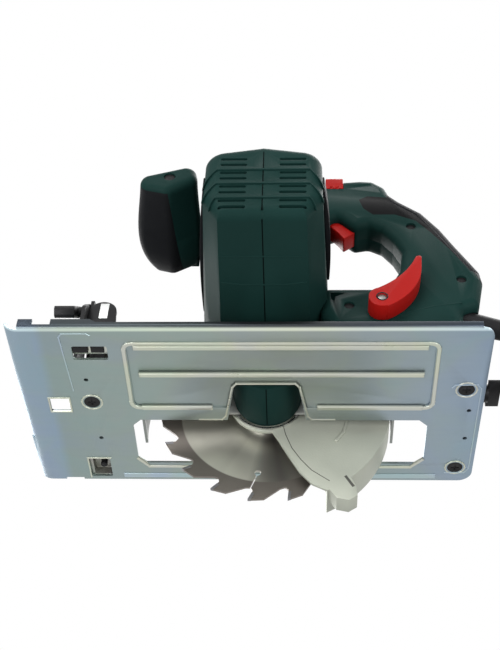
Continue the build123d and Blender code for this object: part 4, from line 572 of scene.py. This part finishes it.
# The pad reaches round the back of the grip. It is black between two lines of heights along X.
grip_x0, grip_x1, grip_top = 0.06, 0.16, 0.2
tree = handle_skin.node_tree
shader = tree.nodes["Principled BSDF"]
nylon = shader.inputs["Base Color"].links[0].from_socket
place = tree.nodes.new("ShaderNodeTexCoord")
axes = tree.nodes.new("ShaderNodeSeparateXYZ")
tree.links.new(place.outputs["Object"], axes.inputs["Vector"])
along = tree.nodes.new("ShaderNodeMapRange")
along.inputs["From Min"].default_value, along.inputs["From Max"].default_value = grip_x0, grip_x1
tree.links.new(axes.outputs["X"], along.inputs["Value"])
height = tree.nodes.new("ShaderNodeMapRange")
height.inputs["From Min"].default_value, height.inputs["From Max"].default_value = 0.0, grip_top
tree.links.new(axes.outputs["Z"], height.inputs["Value"])
pad_under = ((0.0665, 0.165), (0.0680, 0.150), (0.0712, 0.1386), (0.0780, 0.1313), (0.0941, 0.1312),
             (0.1088, 0.1239), (0.1191, 0.1099), (0.1342, 0.0855), (0.1406, 0.0738), (0.1500, 0.0580))
pad_over = ((0.0665, 0.1480), (0.0745, 0.1532), (0.0900, 0.1516), (0.0925, 0.1950))
sides = []
for outline, compare in ((pad_under, "GREATER_THAN"), (pad_over, "LESS_THAN")):
    line = tree.nodes.new("ShaderNodeValToRGB")
    fill_ramp(line, [((x - grip_x0) / (grip_x1 - grip_x0), [z / grip_top] * 3) for x, z in outline])
    tree.links.new(along.outputs["Result"], line.inputs["Fac"])
    side = tree.nodes.new("ShaderNodeMath")
    side.operation = compare
    tree.links.new(height.outputs["Result"], side.inputs[0])
    tree.links.new(line.outputs["Color"], side.inputs[1])
    sides.append(side)
padded = tree.nodes.new("ShaderNodeMath")
padded.operation = "MULTIPLY"
tree.links.new(sides[0].outputs["Value"], padded.inputs[0])
tree.links.new(sides[1].outputs["Value"], padded.inputs[1])
skins = tree.nodes.new("ShaderNodeMix")
skins.data_type = "RGBA"
skins.inputs["B"].default_value = (0.0040, 0.0042, 0.0048, 1.0)
tree.links.new(padded.outputs["Value"], skins.inputs["Factor"])
tree.links.new(nylon, skins.inputs["A"])
tree.links.new(skins.outputs["Result"], shader.inputs["Base Color"])
for name in ("handle_near", "handle_far"):
    finished_copy(name, handle_skin, edge=0.0006)
handle_face = 0.010
ridges("handle_fold", [[(0.0957, 0.0259), (0.1150, 0.0325), (0.1332, 0.0353)]], 0.0010, 0.0002, housing_green,
       "saw", ground=handle_face, upright=True)
finished_copy("grip_pad", soft_grip, edge=0.0008)
finished_copy("handle_screws", black_steel, edge=0.0002)
finished_copy("trigger", red_plastic, edge=0.0010, rings=3)
finished_copy("lock_off_button", red_plastic, edge=0.0006)
finished_copy("depth_lever", red_plastic, edge=0.0012, rings=3)
finished_copy("spindle_lock", black_plastic, edge=0.0005)
lever_face, lever_axis = -0.0038, (0.0785, 0.0274)
ridges("lever_screw_ring", [bent(lever_axis, 0.0036, 0, 360, 16)], 0.0009, 0.0003, black_steel,
       body_of_node["depth_lever"], ground=lever_face, upright=True)

# ---------------------------------------------------------------- front handle
# A moulded nylon core, screwed to the housing from its end and overmoulded with soft rubber where
# the hand closes.
finished_copy("aux_core", housing_green, edge=0.0007)
finished_copy("aux_grip", soft_grip, edge=0.0009, rings=3)
finished_copy("aux_screw", black_steel, edge=0.0002)

# ---------------------------------------------------------------- parts inside
# Motor, gears, bearings and switch, out of sight behind the shells. The stator is stacked from sheet
# steel and wound with enamelled copper; the gears and bearings are hardened and ground.
lamination_steel = grained("lamination_steel", (0.20, 0.20, 0.21), 0.5, metallic=0.7, grain=1200.0)
copper_winding = grained("copper_winding", (0.55, 0.22, 0.09), 0.35, metallic=0.8, grain=1500.0, depth=0.5)
carbon = grained("carbon", (0.03, 0.03, 0.032), 0.6)
fan_plastic = grained("fan_plastic", (0.05, 0.05, 0.052), 0.5)
inside = {
    "armature": copper_winding, "stator": lamination_steel, "field_coils": copper_winding, "brushes": carbon,
    "brush_holders": pin_brass, "bearings": ground_steel, "fan": fan_plastic, "pinion": ground_steel,
    "drive_gear": ground_steel, "switch_box": black_plastic,
}
for name, material in inside.items():
    paint_node(name, material)
